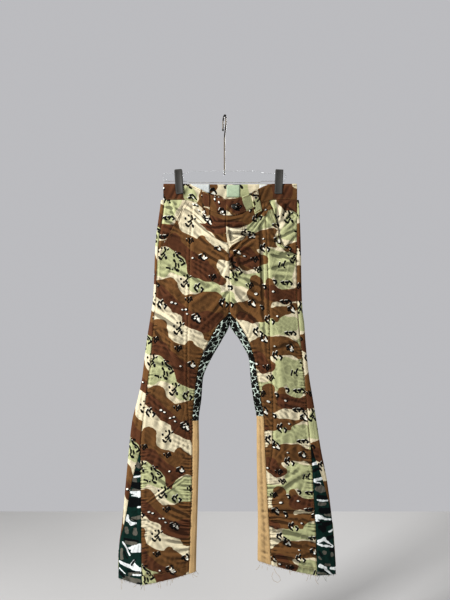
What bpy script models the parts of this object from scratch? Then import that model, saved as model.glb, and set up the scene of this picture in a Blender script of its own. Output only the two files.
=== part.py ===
"""Camouflage patchwork jeans, hanging flat from a clear clip hanger.

Sizes are in millimetres and MM turns them into Blender's metres. X runs to the viewer's
right, Y away from the viewer and Z up. The origin is where the hook rests on its rod, and
a drop is a distance below it. Left and right are the viewer's.
"""

import math
from collections import namedtuple

import bmesh
import bpy
from mathutils import Matrix, Vector

MM = 0.001
GAP = 0.3  # between pieces at a seam
SEAM = GAP / 2  # each piece's half of it

# Cloth
CLOTH = 1.6  # the panels' wall
BAND_WALL = 2.75  # a waistband is several layers
LABEL_WALL = 0.6
LOOP_WALL = 2.2
EDGE_RADIUS = 6.5  # how round a hanging leg is folded at its sides
WAIST_EDGE_RADIUS = 3.0  # the same at the waist, which the clips pinch
PINCH_ENDS = (225.0, 300.0)  # drops between which the sides round out

# Drops of the main seams
WAIST_TOP = 190.0
WAIST_SEAM = 235.0
CROTCH_FRONT = 544.0
CROTCH_UNDER = 582.0
FORK_START = 500.0  # where the section starts to part into two legs
LEOPARD_END = {"left": 851.0, "right": 838.0}
INNER_PANEL_END = {"left": 918.0, "right": 985.0}
GODET_APEX = {"left": 934.0, "right": 920.0}
GODET_TOP = {"left": 946.0, "right": 932.0}  # where it is wide enough to be a solid
HEM = {"left": 1268.0, "right": 1238.0}  # at the inner edge
HEM_SEAM = {"left": 1246.0, "right": 1222.0}
KNEE = 1130.0  # the hem starts to slant below this

# Slant of each hem: it falls from the inner edge to the side seam, then over the godet
HEM_SLANT = {"left": 0.21, "right": 0.22}
GODET_SLANT = {"left": -0.2, "right": 0.02}

# The front waistband sags between the clips, which stand this far from its middle
SAG_MIDDLE = 13.0
SAG_HALF_WIDTH = 125.0
SAG_DEPTH = 48.0
SAG_FADES_FROM = 240.0
SAG_FADES_TO = 420.0

FLY_LINE = ((190, 4), (246, 4), (320, 7), (365, 13), (425, 14), (620, 14))
BACK_CENTRE = 14.0  # X of the seam at the centre back

# One row for each height of a leg: where its seams lie, as X
Row = namedtuple("Row", "drop outer side godet panel strip inner")
LEGS = {
    "left": (
        Row(190, -172, -169, -169, -90, 14, 14),
        Row(246, -179, -169, -169, -91, 14, 14),
        Row(361, -194, -185, -185, -96, 14, 14),
        Row(504, -200, -192, -192, -99, 14, 14),
        Row(544, -205, -195, -195, -101, 14, 14),
        Row(582, -211, -198, -198, -102, -15, 14),
        Row(627, -218, -202, -202, -104, -41, -7),
        Row(683, -225, -206, -206, -104, -66, -39),
        Row(734, -231, -212, -212, -104, -78, -60),
        Row(795, -244, -220, -220, -103, -85, -65),
        Row(851, -258, -227, -227, -100, -89, -72),
        Row(930, -267, -233, -235, -92, -89, -71),
        Row(1019, -275, -232, -257, -90, -90, -73),
        Row(1131, -285, -230, -277, -94, -94, -76),
        Row(1200, -294, -229, -294, -96, -96, -78),
        Row(1299, -296, -226, -296, -100, -100, -80),
    ),
    "right": (
        Row(190, 204, 203, 203, 112, 14, 14),
        Row(246, 209, 203, 203, 113, 14, 14),
        Row(361, 214, 202, 202, 118, 14, 14),
        Row(504, 217, 203, 203, 123, 14, 14),
        Row(544, 219, 205, 205, 124, 14, 14),
        Row(582, 224, 208, 208, 125, 41, 14),
        Row(627, 227, 212, 212, 125, 66, 42),
        Row(683, 232, 218, 218, 127, 84, 69),
        Row(734, 238, 223, 223, 131, 92, 73),
        Row(795, 248, 228, 228, 134, 102, 81),
        Row(851, 257, 233, 233, 135, 110, 90),
        Row(930, 269, 240, 245, 133, 113, 90),
        Row(1019, 286, 245, 274, 117, 117, 91),
        Row(1131, 300, 251, 300, 123, 123, 93),
        Row(1243, 310, 256, 310, 129, 129, 92),
        Row(1299, 311, 258, 311, 132, 132, 92),
    ),
}

# Half depths in front of and behind the middle plane, that plane's Y, and how much further
# the middle of the front and of the back bulges between the clips
Depth = namedtuple("Depth", "drop front back middle front_bulge back_bulge")
DEPTHS = (
    Depth(190, 3, 3, 0, 26, 5),
    Depth(220, 3, 3, 0, 25, 5),
    Depth(250, 6, 7, 0, 22, 5),
    Depth(300, 12, 15, 2, 15, 4),
    Depth(380, 18, 24, 4, 8, 3),
    Depth(470, 21, 28, 5, 2, 1),
    Depth(582, 22, 25, 4, 0, 0),
    Depth(740, 18, 18, 2, 0, 0),
    Depth(900, 15, 15, -2, 0, 0),
    Depth(1080, 17, 17, -6, 0, 0),
    Depth(1299, 22, 22, -8, 0, 0),
)

# Mouth of each slanted hip pocket, from the waist seam to the side seam
POCKET_MOUTH = {
    "left": ((190, -104), (235, -106), (262, -120), (362, -172), (378, -187)),
    "right": ((190, 118), (235, 124), (262, 133), (308, 148), (339, 153), (361, 162), (393, 204)),
}
POCKET_END = {"left": 375.0, "right": 388.0}
POCKET_FOOT = {"left": 372.0, "right": 385.0}  # where the facing ends

# The largest folds. Each lies along a line through (x, drop) that is turned by angle
# degrees from level; height is how far the cloth stands out, or in where it is negative.
FOLD_FADE = 0.2  # share of a face, at a leg's sides, over which the folds die away
Fold = namedtuple("Fold", "face x drop angle half_length half_width height")
FOLDS = (
    Fold("front", 46, 290, 24, 55, 11, 4.0),
    Fold("front", 40, 318, 18, 50, 10, -3.5),
    Fold("front", -22, 300, -30, 45, 12, 3.5),
    Fold("front", 168, 388, -8, 34, 9, -5.0),
    Fold("front", 166, 412, -4, 36, 11, 3.5),
    Fold("front", 126, 420, 86, 150, 13, 4.0),
    Fold("front", 150, 262, 40, 40, 12, 4.5),
    Fold("front", 178, 280, -35, 36, 10, -3.5),
    Fold("front", -150, 480, -60, 70, 16, 3.0),
    Fold("front", -175, 590, 70, 90, 16, 3.5),
    Fold("front", -132, 720, 86, 130, 16, 3.0),
    Fold("front", 152, 720, 88, 140, 15, 3.5),
    Fold("front", 60, 560, 40, 50, 13, -3.5),
    Fold("front", -40, 545, -38, 60, 13, 3.0),
    Fold("front", 196, 975, 12, 60, 16, 4.0),
    Fold("front", 178, 1101, 2, 50, 10, -6.0),
    Fold("front", 190, 1136, 12, 60, 12, 4.5),
    Fold("front", -130, 1040, 40, 50, 14, 3.0),
    Fold("front", -122, 1150, 22, 36, 13, -3.5),
    Fold("front", 180, 1205, 4, 60, 11, 4.0),
    Fold("back", 15, 330, 4, 70, 18, 3.5),
    Fold("back", -60, 470, -30, 80, 18, -4.0),
    Fold("back", 92, 480, 32, 80, 18, -4.0),
    Fold("back", -120, 640, 74, 120, 18, 4.0),
    Fold("back", 140, 660, -74, 120, 18, 4.0),
    Fold("back", -170, 900, 10, 70, 16, -4.0),
    Fold("back", 185, 930, -12, 70, 16, -4.0),
    Fold("back", -190, 1110, -14, 75, 15, 4.0),
    Fold("back", 205, 1120, 10, 75, 15, 4.0),
)

# Waistband fittings
LOOP_WIDTH = 20.0
LOOP_LIFT = 0.5
LOOP_TOP = 191.0
LOOP_END = 257.0
OVERLAP_START = 5.0  # X where the right waistband half ends
UNDERLAP_END = 38.0  # X where the left half ends, beneath it
OVERLAP_SETTLES = 75.0  # X where the right half lies back on the panels' line
BUTTON_PLACE = (26.0, 212.0)  # X and drop
BUTTON_RADIUS = 8.0
BUTTON_HEIGHT = 3.2
BUTTON_SHANK = 0.4  # how far it stands off the band
Turned = namedtuple("Turned", "radius height")  # shares of the button's
BUTTON_PROFILE = (
    Turned(0.0, 0.62),
    Turned(0.55, 0.60),
    Turned(0.68, 0.92),
    Turned(0.86, 1.0),
    Turned(1.0, 0.7),
    Turned(0.94, 0.25),
    Turned(0.5, 0.0),
    Turned(0.0, 0.0),
)
WAIST_LABEL = (6.0, 43.0, 192.0, 226.0)  # from X, to X, from drop, to drop
WHITE_LABEL = (98.0, 121.0, 191.5, 210.0)
LINING_PIECE = (-93.0, -42.0, 191.0, 214.0)

# Hanger
WIRE = 4.0  # diameter
ROD_RADIUS = 12.5  # of the rod that the hook fits
HOOK_TURN = 16.0  # degrees from square to the bar
HOOK_END = 31.0  # drop of the free end
HOOK_TIP_RADIUS = 3.0
HOOK_STRAIGHT = 68.0  # drop at which the shank starts to bend forward
HOOK_FORWARD = 20.5  # drop at which it has come forward
HOOK_FLARE = 1.0  # how far the free end stands off the bend's side
BAR_THICKNESS = 6.0
BAR_HALF_LENGTH = 172.0
BAR_TONGUE = (160.5, 182.5)  # top and bottom drop
PLATE_HALF_LENGTH = 106.5
BAR_PLATE = (154.0, 186.5)
SHOULDER = 9.0  # length of the step from plate to tongue
BAR_END_RADIUS = 7.0
HOOK_SEAT = 166.0  # drop of the hook's lower end, inside the bar
CLIP_WIDTH = 21.5
CLIP_WALL = 2.6
CLIP_TOP = 150.5
CLIP_BOTTOM = 218.5
CLIP_PLACES = {"left": (-127.0, -3.4), "right": (152.0, 2.8)}  # X of the middle, tilt
JAW_FACE = BAR_THICKNESS / 2 + GAP
SPRING_RADIUS = 3.0
SPRING_LENGTH = 15.0
SPRING_DROP = 156.0
JAW_EDGE = 0.7  # rounding

SIGN = {"left": -1.0, "right": 1.0}
ROW_STEP = 27.0  # most that the rows of points down a panel lie apart
OUTER_COLUMNS, INNER_COLUMNS, BACK_COLUMNS = 5, 5, 9
FACING_COLUMNS = (2, 1)
GODET_COLUMNS = 3
STRIP_COLUMNS = 3  # on each side of an inner fold
SLIVER_COLUMNS = 2  # of a back panel, where it shows from the front
WELD = 0.00001  # metres
TURN_STEP = 0.002  # between the points that give the cloth's direction


# ---------------------------------------------------------------- curves through tables


def smooth(points, at):
    """Value at a place, on a monotone cubic through (place, value) points."""
    if at <= points[0][0]:
        return points[0][1]
    if at >= points[-1][0]:
        return points[-1][1]
    spans = list(zip(points, points[1:]))
    slopes = [(b[1] - a[1]) / (b[0] - a[0]) for a, b in spans]
    index = next(i for i, (a, b) in enumerate(spans) if at <= b[0])

    def tangent(i):
        if i in (0, len(points) - 1):
            return slopes[min(i, len(slopes) - 1)]
        before, after = slopes[i - 1], slopes[i]
        if before * after <= 0:
            return 0.0
        return 2 * before * after / (before + after)

    (x0, y0), (x1, y1) = spans[index]
    span = x1 - x0
    t = (at - x0) / span
    return (
        (2 * t**3 - 3 * t**2 + 1) * y0
        + (t**3 - 2 * t**2 + t) * span * tangent(index)
        + (3 * t**2 - 2 * t**3) * y1
        + (t**3 - t**2) * span * tangent(index + 1)
    )


def column(rows, name):
    """The (drop, value) points of one named column."""
    return [(row.drop, getattr(row, name)) for row in rows]


COLUMNS = {(leg, name): column(rows, name) for leg, rows in LEGS.items() for name in Row._fields}
DEPTH_COLUMNS = {name: column(DEPTHS, name) for name in Depth._fields}


def ease(start, end, at):
    """0 before start, 1 after end, and smooth between them."""
    t = min(1.0, max(0.0, (at - start) / (end - start)))
    return t * t * (3 - 2 * t)


def depth(name, drop):
    return smooth(DEPTH_COLUMNS[name], drop)


def centre(leg, drop, face="front"):
    """X of the centre seam, on this leg's side of its gap."""
    middle = smooth(FLY_LINE, drop) if face == "front" else BACK_CENTRE
    return middle + SIGN[leg] * SEAM


def seam(leg, name, drop, face="front"):
    """X of a seam. Above the crotch, the strip and inner edges are the centre seam."""
    if name in ("strip", "inner"):
        start = CROTCH_FRONT if name == "strip" else CROTCH_UNDER
        middle = centre(leg, drop, face)
        if drop <= start:
            return middle
        away = smooth(COLUMNS[leg, name], drop)
        return min(away, middle) if leg == "left" else max(away, middle)
    return smooth(COLUMNS[leg, name], drop)


# ---------------------------------------------------------------- the cloth's surface


def between_clips(x):
    """1 midway between the clips, 0 at and beyond them."""
    away = (x - SAG_MIDDLE) / SAG_HALF_WIDTH
    return (1 - away * away) ** 2 if abs(away) < 1 else 0.0


def fold_height(face, x, drop):
    total = 0.0
    for fold in FOLDS:
        if fold.face != face:
            continue
        turn = math.radians(fold.angle)
        along = (x - fold.x) * math.cos(turn) + (drop - fold.drop) * math.sin(turn)
        across = (drop - fold.drop) * math.cos(turn) - (x - fold.x) * math.sin(turn)
        total += fold.height * math.exp(
            -((along / fold.half_length) ** 2) - (across / fold.half_width) ** 2
        )
    return total * ease(WAIST_SEAM, WAIST_SEAM + 40, drop)  # the band itself is stiff


def round_edge(distance, radius):
    """Share of the edge's full radius that the cloth has reached, this far from its fold."""
    if distance >= radius:
        return 1.0
    return math.sqrt(max(0.0, 2 * distance / radius - (distance / radius) ** 2))


def half_depth(leg, face, x, drop):
    """How far the cloth stands from its middle plane."""
    parted = ease(FORK_START, CROTCH_UNDER, drop)
    radius = WAIST_EDGE_RADIUS + (EDGE_RADIUS - WAIST_EDGE_RADIUS) * ease(*PINCH_ENDS, drop)
    full = depth(face, drop) - radius
    outer = seam(leg, "outer", drop)
    left, right = (smooth(COLUMNS[side, "outer"], drop) for side in ("left", "right"))
    across = (2 * x - left - right) / (right - left)
    from_outer = abs(x - outer)
    whole = radius * round_edge(from_outer, radius) + full * max(0.0, 1 - across * across)
    whole += depth(face + "_bulge", drop) * between_clips(x)
    if parted == 0:
        return whole
    inner = seam(leg, "inner", drop, face)
    across = (2 * x - outer - inner) / (outer - inner)
    from_inner = abs(x - inner)
    alone = radius * round_edge(from_outer, radius) * round_edge(from_inner, radius)
    alone += full * max(0.0, 1 - across * across)
    return whole + (alone - whole) * parted


def place_across(leg, face, at, drop):
    """X at a share of the way from the outer fold (0) to the centre or inner fold (1)."""
    parted = ease(FORK_START, CROTCH_UNDER, drop)
    share = (1 - parted) * (1 - math.cos(at * math.pi / 2))
    share += parted * (1 - math.cos(at * math.pi)) / 2
    outer = seam(leg, "outer", drop)
    return outer + (seam(leg, "inner", drop, face) - outer) * share


def section_point(leg, drop, turn):
    """A point of the level section. turn is 0 at the outer fold, 1 at the inner end of the
    front, -1 at that of the back, and over 1 where a strip goes on to the back."""
    if turn > 1:
        turn -= 2
    face = "front" if turn >= 0 else "back"
    x = place_across(leg, face, abs(turn), drop)
    stands = half_depth(leg, face, x, drop)
    from_outer = min(1.0, abs(turn) / FOLD_FADE)
    from_inner = min(1.0, (1 - abs(turn)) / FOLD_FADE)
    fade = from_outer * (1 - ease(FORK_START, CROTCH_UNDER, drop) * (1 - from_inner))
    stands += fold_height(face, x, drop) * fade
    return x, depth("middle", drop) + (-stands if face == "front" else stands), face


def hem_fall(leg, x, drop):
    """How much lower than its level the cloth hangs towards its hem."""
    inner, side = seam(leg, "inner", HEM[leg]), seam(leg, "side", HEM[leg])
    out = abs(x - inner)
    to_side = abs(side - inner)
    fall = HEM_SLANT[leg] * min(out, to_side) + GODET_SLANT[leg] * max(0.0, out - to_side)
    return fall * ease(KNEE, HEM[leg], drop)


def cloth(leg, drop, turn, lift=0.0):
    """The cloth's outside at a drop and turn, moved out by lift, or in where it is negative."""
    x, y, face = section_point(leg, drop, turn)
    if lift:
        low, high = turn - TURN_STEP, turn + TURN_STEP
        if drop < CROTCH_UNDER:
            low, high = max(low, -1.0), min(high, 1.0)
        x0, y0, _ = section_point(leg, drop, low)
        x1, y1, _ = section_point(leg, drop, high)
        length = math.hypot(x1 - x0, y1 - y0)
        x -= SIGN[leg] * lift * (y1 - y0) / length
        y += SIGN[leg] * lift * (x1 - x0) / length
    z = -drop - hem_fall(leg, x, drop)
    if face == "front":
        z -= SAG_DEPTH * between_clips(x) * (1 - ease(SAG_FADES_FROM, SAG_FADES_TO, drop))
    return Vector((x, y, z))


def turn_at(leg, face, drop, x):
    """The turn at which a face of a leg crosses an X."""
    low, high = 0.0, 1.0
    while high - low > TURN_STEP / 1000:
        middle = (low + high) / 2
        if SIGN[leg] * (place_across(leg, face, middle, drop) - x) > 0:
            low = middle
        else:
            high = middle
    return low if face == "front" else -low


def along(leg, drop, turn, distance):
    """The turn at this distance further round the section."""
    low = turn - 2 * TURN_STEP if drop < CROTCH_UNDER and turn + 2 * TURN_STEP > 1 else turn
    high = low + 2 * TURN_STEP
    here, there = section_point(leg, drop, low), section_point(leg, drop, high)
    return turn + distance * (high - low) / math.hypot(there[0] - here[0], there[1] - here[1])


# ---------------------------------------------------------------- solids from sheets

MODEL = "camouflage_jeans"
FINISHES = {
    "desert": ((0.36, 0.30, 0.16), 0.85, 0.0, 1.0),
    "woodland": ((0.04, 0.10, 0.08), 0.85, 0.0, 1.0),
    "leopard": ((0.20, 0.27, 0.22), 0.85, 0.0, 1.0),
    "canvas": ((0.60, 0.40, 0.19), 0.85, 0.0, 1.0),
    "white": ((0.85, 0.86, 0.85), 0.8, 0.0, 1.0),
    "pale_green": ((0.62, 0.70, 0.58), 0.8, 0.0, 1.0),
    "gunmetal": ((0.08, 0.08, 0.08), 0.35, 1.0, 1.0),
    "steel": ((0.45, 0.42, 0.38), 0.3, 1.0, 1.0),
    "clip": ((0.045, 0.042, 0.035), 0.5, 0.0, 1.0),
    "acrylic": ((0.92, 0.94, 0.95), 0.08, 0.0, 0.3),
}


def finish(name):
    found = bpy.data.materials.get(name)
    if found:
        return found
    colour, roughness, metallic, alpha = FINISHES[name]
    made = bpy.data.materials.new(name)
    made.use_nodes = True
    shader = made.node_tree.nodes["Principled BSDF"]
    shader.inputs["Base Color"].default_value = (*colour, 1.0)
    shader.inputs["Roughness"].default_value = roughness
    shader.inputs["Metallic"].default_value = metallic
    shader.inputs["Alpha"].default_value = alpha
    return made


def add_object(name, data, material):
    made = bpy.data.objects.new(name, data)
    bpy.data.collections[MODEL].objects.link(made)
    data.materials.append(finish(material))
    return made


def solid_from_sheets(name, outside, inside, material):
    """A closed wall between two equal grids of points, rows of columns, in millimetres."""
    rows, columns = len(outside), len(outside[0])
    mesh = bmesh.new()
    skins = []
    for sheet in (outside, inside):
        skins.append([[mesh.verts.new(point * MM) for point in row] for row in sheet])
    out, back = skins
    for r in range(rows - 1):
        for c in range(columns - 1):
            mesh.faces.new((out[r][c], out[r + 1][c], out[r + 1][c + 1], out[r][c + 1]))
            mesh.faces.new((back[r][c], back[r][c + 1], back[r + 1][c + 1], back[r + 1][c]))
    rim = [(0, c) for c in range(columns)] + [(r, columns - 1) for r in range(1, rows)]
    rim += [(rows - 1, c) for c in range(columns - 2, -1, -1)]
    rim += [(r, 0) for r in range(rows - 2, 0, -1)]
    for (r0, c0), (r1, c1) in zip(rim, rim[1:] + rim[:1]):
        mesh.faces.new((out[r0][c0], out[r1][c1], back[r1][c1], back[r0][c0]))
    bmesh.ops.triangulate(mesh, faces=mesh.faces)
    if mesh.calc_volume(signed=True) < 0:
        bmesh.ops.reverse_faces(mesh, faces=mesh.faces)
    data = bpy.data.meshes.new(name)
    mesh.to_mesh(data)
    mesh.free()
    made = add_object(name, data, material)
    data.shade_smooth()
    data.set_sharp_from_angle(angle=math.radians(40))
    return made


def spread(start, end, count):
    """count + 1 values from start to end."""
    return [start + (end - start) * i / count for i in range(count + 1)]


def levels(leg, top, bottom):
    """Drops of the rows of points from top to bottom. Pieces that meet share them, so that
    both sides of a seam bend at the same places."""
    stops = [WAIST_SEAM + GAP, POCKET_FOOT[leg], CROTCH_FRONT, CROTCH_UNDER, LEOPARD_END[leg]]
    stops += [INNER_PANEL_END[leg], GODET_APEX[leg], GODET_TOP[leg], HEM_SEAM[leg], HEM[leg]]
    stops.sort()
    drops = stops[:1]
    for start, end in zip(stops, stops[1:]):
        drops += spread(start, end, max(1, math.ceil((end - start) / ROW_STEP)))[1:]
    return [top] + [drop for drop in drops if top + 1 < drop < bottom - 1] + [bottom]


def panel(name, leg, drops, ends, spans, material, wall=CLOTH, lift=0.0):
    """A piece of cloth.

    ends gives the turns that the piece runs between at a drop, with any fold between them,
    and spans is the number of columns from each of those turns to the next.
    """
    outside, inside = [], []
    for drop in drops:
        stops = list(ends(drop))
        low = -1 if stops[-1] < stops[0] else 1
        stops[0] = stops[0] if abs(stops[0]) == 1 else along(leg, drop, stops[0], low * SEAM)
        if abs(stops[-1]) != 1:
            stops[-1] = along(leg, drop, stops[-1], -low * SEAM)
        turns = [stops[0]]
        for start, end, count in zip(stops, stops[1:], spans):
            turns += spread(start, end, count)[1:]
        outside.append([cloth(leg, drop, turn, lift) for turn in turns])
        inside.append([cloth(leg, drop, turn, lift - wall) for turn in turns])
    return solid_from_sheets(name, outside, inside, material)


def front_turn(leg, name):
    """A function of the drop: the turn of a named seam on the front."""
    return lambda drop: turn_at(leg, "front", drop, seam(leg, name, drop))


# ---------------------------------------------------------------- the legs' pieces


def mouth_turn(leg, drop):
    """Turn of the front panel's outer edge: the pocket's mouth, then the side seam."""
    x = smooth(POCKET_MOUTH[leg], drop)
    side = seam(leg, "side", drop)
    if drop > POCKET_END[leg]:
        x = side
    x = max(x, side) if leg == "left" else min(x, side)
    return turn_at(leg, "front", drop, x)


def panel_turn(leg, drop):
    name = "panel" if drop <= INNER_PANEL_END[leg] else "strip"
    return turn_at(leg, "front", drop, seam(leg, name, drop))


def strip_turn(leg, drop):
    return turn_at(leg, "front", drop, seam(leg, "strip", drop)) if drop > CROTCH_FRONT else 1.0


def godet_turn(leg, drop):
    """Turn of the godet's outer seam, which reaches the leg's fold below the knee."""
    if drop <= GODET_APEX[leg]:
        return turn_at(leg, "front", drop, seam(leg, "side", drop))
    return turn_at(leg, "front", drop, seam(leg, "godet", drop))


def facing_stops(leg, drop):
    """Turns of the facing's edges, with a column between them where the sag ends."""
    side, mouth = front_turn(leg, "side")(drop), mouth_turn(leg, drop)
    top_side, top_mouth = front_turn(leg, "side")(WAIST_SEAM), mouth_turn(leg, WAIST_SEAM)
    sag_end = SAG_MIDDLE + SIGN[leg] * SAG_HALF_WIDTH
    share = (turn_at(leg, "front", WAIST_SEAM, sag_end) - top_side) / (top_mouth - top_side)
    share = min(share, 0.8)
    return side, side + (mouth - side) * share, mouth


def make_leg(leg):
    top, hem_seam = WAIST_SEAM + GAP, HEM_SEAM[leg]
    panel(
        f"front_outer_{leg}",
        leg,
        levels(leg, top, hem_seam),
        lambda drop: (mouth_turn(leg, drop), panel_turn(leg, drop)),
        (OUTER_COLUMNS,),
        "desert",
    )
    panel(
        f"front_inner_{leg}",
        leg,
        levels(leg, top, INNER_PANEL_END[leg]),
        lambda drop: (front_turn(leg, "panel")(drop), strip_turn(leg, drop)),
        (INNER_COLUMNS,),
        "desert",
    )
    panel(
        f"pocket_facing_{leg}",
        leg,
        levels(leg, top, POCKET_FOOT[leg]),
        lambda drop: facing_stops(leg, drop),
        FACING_COLUMNS,
        "desert",
    )
    panel(
        f"back_{leg}",
        leg,
        levels(leg, top, hem_seam),
        lambda drop: (godet_turn(leg, drop), 0.0, -strip_turn(leg, drop)),
        (SLIVER_COLUMNS, BACK_COLUMNS),
        "desert",
    )
    panel(
        f"godet_{leg}",
        leg,
        levels(leg, GODET_TOP[leg], HEM[leg]),
        lambda drop: (godet_turn(leg, drop), front_turn(leg, "side")(drop)),
        (GODET_COLUMNS,),
        "woodland",
    )
    make_leopard_strip(leg)
    panel(
        f"inseam_canvas_{leg}",
        leg,
        levels(leg, LEOPARD_END[leg] + GAP, HEM[leg]),
        lambda drop: (strip_turn(leg, drop), 1.0, 2 - strip_turn(leg, drop)),
        (STRIP_COLUMNS, STRIP_COLUMNS),
        "canvas",
    )
    panel(
        f"hem_front_{leg}",
        leg,
        levels(leg, hem_seam + GAP, HEM[leg]),
        lambda drop: (front_turn(leg, "side")(drop), strip_turn(leg, drop)),
        (OUTER_COLUMNS,),
        "desert",
    )
    panel(
        f"hem_back_{leg}",
        leg,
        levels(leg, hem_seam + GAP, HEM[leg]),
        lambda drop: (0.0, -strip_turn(leg, drop)),
        (BACK_COLUMNS,),
        "desert",
    )


def make_leopard_strip(leg):
    """The strip starts as the crotch seam, a line from front to back under the crotch, and
    its next rows turn level as they come down the leg."""
    rise = CROTCH_UNDER - CROTCH_FRONT - 2 * GAP
    settles = 120.0
    outside, inside = [], []
    for edge_drop in levels(leg, CROTCH_FRONT + 2 * GAP, LEOPARD_END[leg]):
        first = edge_drop < CROTCH_FRONT + 1
        away = max(0.0, 1 - (edge_drop - CROTCH_FRONT - 2 * GAP) / settles)
        under = edge_drop + rise * away**2
        edge = 1.0 if first else along(leg, edge_drop, strip_turn(leg, edge_drop), SEAM)
        front = []
        for share in spread(0.0, 1.0, 4):
            drop = edge_drop + (under - edge_drop) * share
            front.append((drop, edge + (1 - edge) * share))
        points = front + [(drop, -turn) for drop, turn in front[::-1][1:]]
        outside.append([cloth(leg, drop, turn) for drop, turn in points])
        inside.append([cloth(leg, drop, turn, -CLOTH) for drop, turn in points])
    return solid_from_sheets(f"inseam_leopard_{leg}", outside, inside, "leopard")


# ---------------------------------------------------------------- the waist's pieces

BAND_DROPS = spread(WAIST_TOP, WAIST_SEAM, 4)


def waist_point(face, x, drop, lift=0.0):
    """The cloth's outside at an X, whichever leg it belongs to."""
    leg = "left" if x < centre("left", drop, face) else "right"
    return cloth(leg, drop, turn_at(leg, face, drop, x), lift)


def waist_places(face, start, end):
    """X of the band's columns: those of the panels below, so that both edges bend alike."""
    places = [start, end]
    for leg in ("left", "right"):
        if face == "front":
            stops = (0.0, *facing_stops(leg, WAIST_SEAM), panel_turn(leg, WAIST_SEAM), 1.0)
            spans = (1, *FACING_COLUMNS, OUTER_COLUMNS, INNER_COLUMNS)
        else:
            stops, spans = (0.0, 1.0), (BACK_COLUMNS,)
        for low, high, count in zip(stops, stops[1:], spans):
            turns = spread(low, high, count)
            places += [place_across(leg, face, turn, WAIST_SEAM) for turn in turns]
    clear = 1.5
    inner = sorted(x for x in places if start + clear < x < end - clear)
    kept = [start]
    for x in inner:
        if x - kept[-1] > clear:
            kept.append(x)
    return kept + [end]


def band_strip(name, face, start, end, material, lift=lambda x: 0.0):
    drops = BAND_DROPS
    places = waist_places(face, start, end)
    outside = [[waist_point(face, x, drop, lift(x)) for x in places] for drop in drops]
    inside = [[waist_point(face, x, drop, lift(x) - BAND_WALL) for x in places] for drop in drops]
    return solid_from_sheets(name, outside, inside, material)


def overlap_lift(x):
    """The right half lies over the left's end, then comes back to the panels' line."""
    return (BAND_WALL + GAP) * (1 - ease(UNDERLAP_END, OVERLAP_SETTLES, x))


def make_waistband():
    left, right = (seam(leg, "outer", WAIST_TOP) for leg in ("left", "right"))
    ends = 1.0  # the halves meet at the sides
    # The underlap ends at a column of the panel below it
    stops = spread(panel_turn("right", WAIST_SEAM), 1.0, INNER_COLUMNS)
    columns = [place_across("right", "front", turn, WAIST_SEAM) for turn in stops]
    underlap_end = min(columns, key=lambda x: abs(x - UNDERLAP_END))
    band_strip("waistband_front_left", "front", left + ends, underlap_end, "desert")
    band_strip(
        "waistband_front_right", "front", OVERLAP_START, right - ends, "desert", overlap_lift
    )
    band_strip("waistband_back", "back", left + ends, right - ends, "desert")


def belt_loop(name, face, top_x, end_x):
    """A strap sewn over the waistband."""
    outside, inside = [], []
    drops = [LOOP_TOP] + BAND_DROPS[1:] + spread(WAIST_SEAM, LOOP_END, 2)[1:]
    for drop in drops:
        middle = top_x + (end_x - top_x) * (drop - LOOP_TOP) / (LOOP_END - LOOP_TOP)
        over = overlap_lift(middle) if face == "front" and middle > OVERLAP_START else 0.0
        outer_row, inner_row = [], []
        for x in spread(middle - LOOP_WIDTH / 2, middle + LOOP_WIDTH / 2, 3):
            outer_row.append(waist_point(face, x, drop, over + LOOP_LIFT + LOOP_WALL))
            inner_row.append(waist_point(face, x, drop, over + LOOP_LIFT))
        outside.append(outer_row)
        inside.append(inner_row)
    return solid_from_sheets(name, outside, inside, "desert")


def waist_patch(name, place, material):
    """A label or lining on the inside of the back waistband."""
    start, end, top, bottom = place
    lift = -(BAND_WALL + LOOP_LIFT)
    drops, places = spread(top, bottom, 2), spread(start, end, 5)
    outside = [[waist_point("back", x, drop, lift) for x in places] for drop in drops]
    inside = [[waist_point("back", x, drop, lift - LABEL_WALL) for x in places] for drop in drops]
    return solid_from_sheets(name, outside, inside, material)


def make_button():
    """A turned shank button: a domed cap with a rim, on the end of the right band half."""
    x, drop = BUTTON_PLACE
    lift = overlap_lift(x) + GAP
    seat = waist_point("front", x, drop, lift)
    out = (waist_point("front", x, drop, lift + 1) - seat).normalized()
    mesh = bmesh.new()
    ring = []
    for radius, height in BUTTON_PROFILE:
        ring.append(mesh.verts.new((radius * BUTTON_RADIUS * MM, 0, height * BUTTON_HEIGHT * MM)))
    edges = [mesh.edges.new(pair) for pair in zip(ring, ring[1:])]
    bmesh.ops.spin(
        mesh,
        geom=ring + edges,
        cent=(0, 0, 0),
        axis=(0, 0, 1),
        angle=math.tau,
        steps=20,
        use_merge=True,
    )
    bmesh.ops.remove_doubles(mesh, verts=mesh.verts, dist=WELD)
    bmesh.ops.recalc_face_normals(mesh, faces=mesh.faces)
    data = bpy.data.meshes.new("button")
    mesh.to_mesh(data)
    mesh.free()
    button = add_object("button", data, "gunmetal")
    data.shade_smooth()
    button.rotation_euler = out.to_track_quat("Z", "X").to_euler()
    button.location = (seat + out * BUTTON_SHANK) * MM


# ---------------------------------------------------------------- the hanger


def flat_outline(name, points, thickness, material):
    """An outline in the XZ plane, given thickness in Y and centred on it."""
    curve = bpy.data.curves.new(name, "CURVE")
    curve.dimensions = "2D"
    curve.fill_mode = "BOTH"
    curve.extrude = thickness / 2 * MM
    spline = curve.splines.new("POLY")
    spline.points.add(len(points) - 1)
    for point, (x, z) in zip(spline.points, points):
        point.co = (x * MM, z * MM, 0, 1)
    spline.use_cyclic_u = True
    made = add_object(name, curve, material)
    made.rotation_euler = (math.radians(90), 0, 0)
    return made


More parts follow.
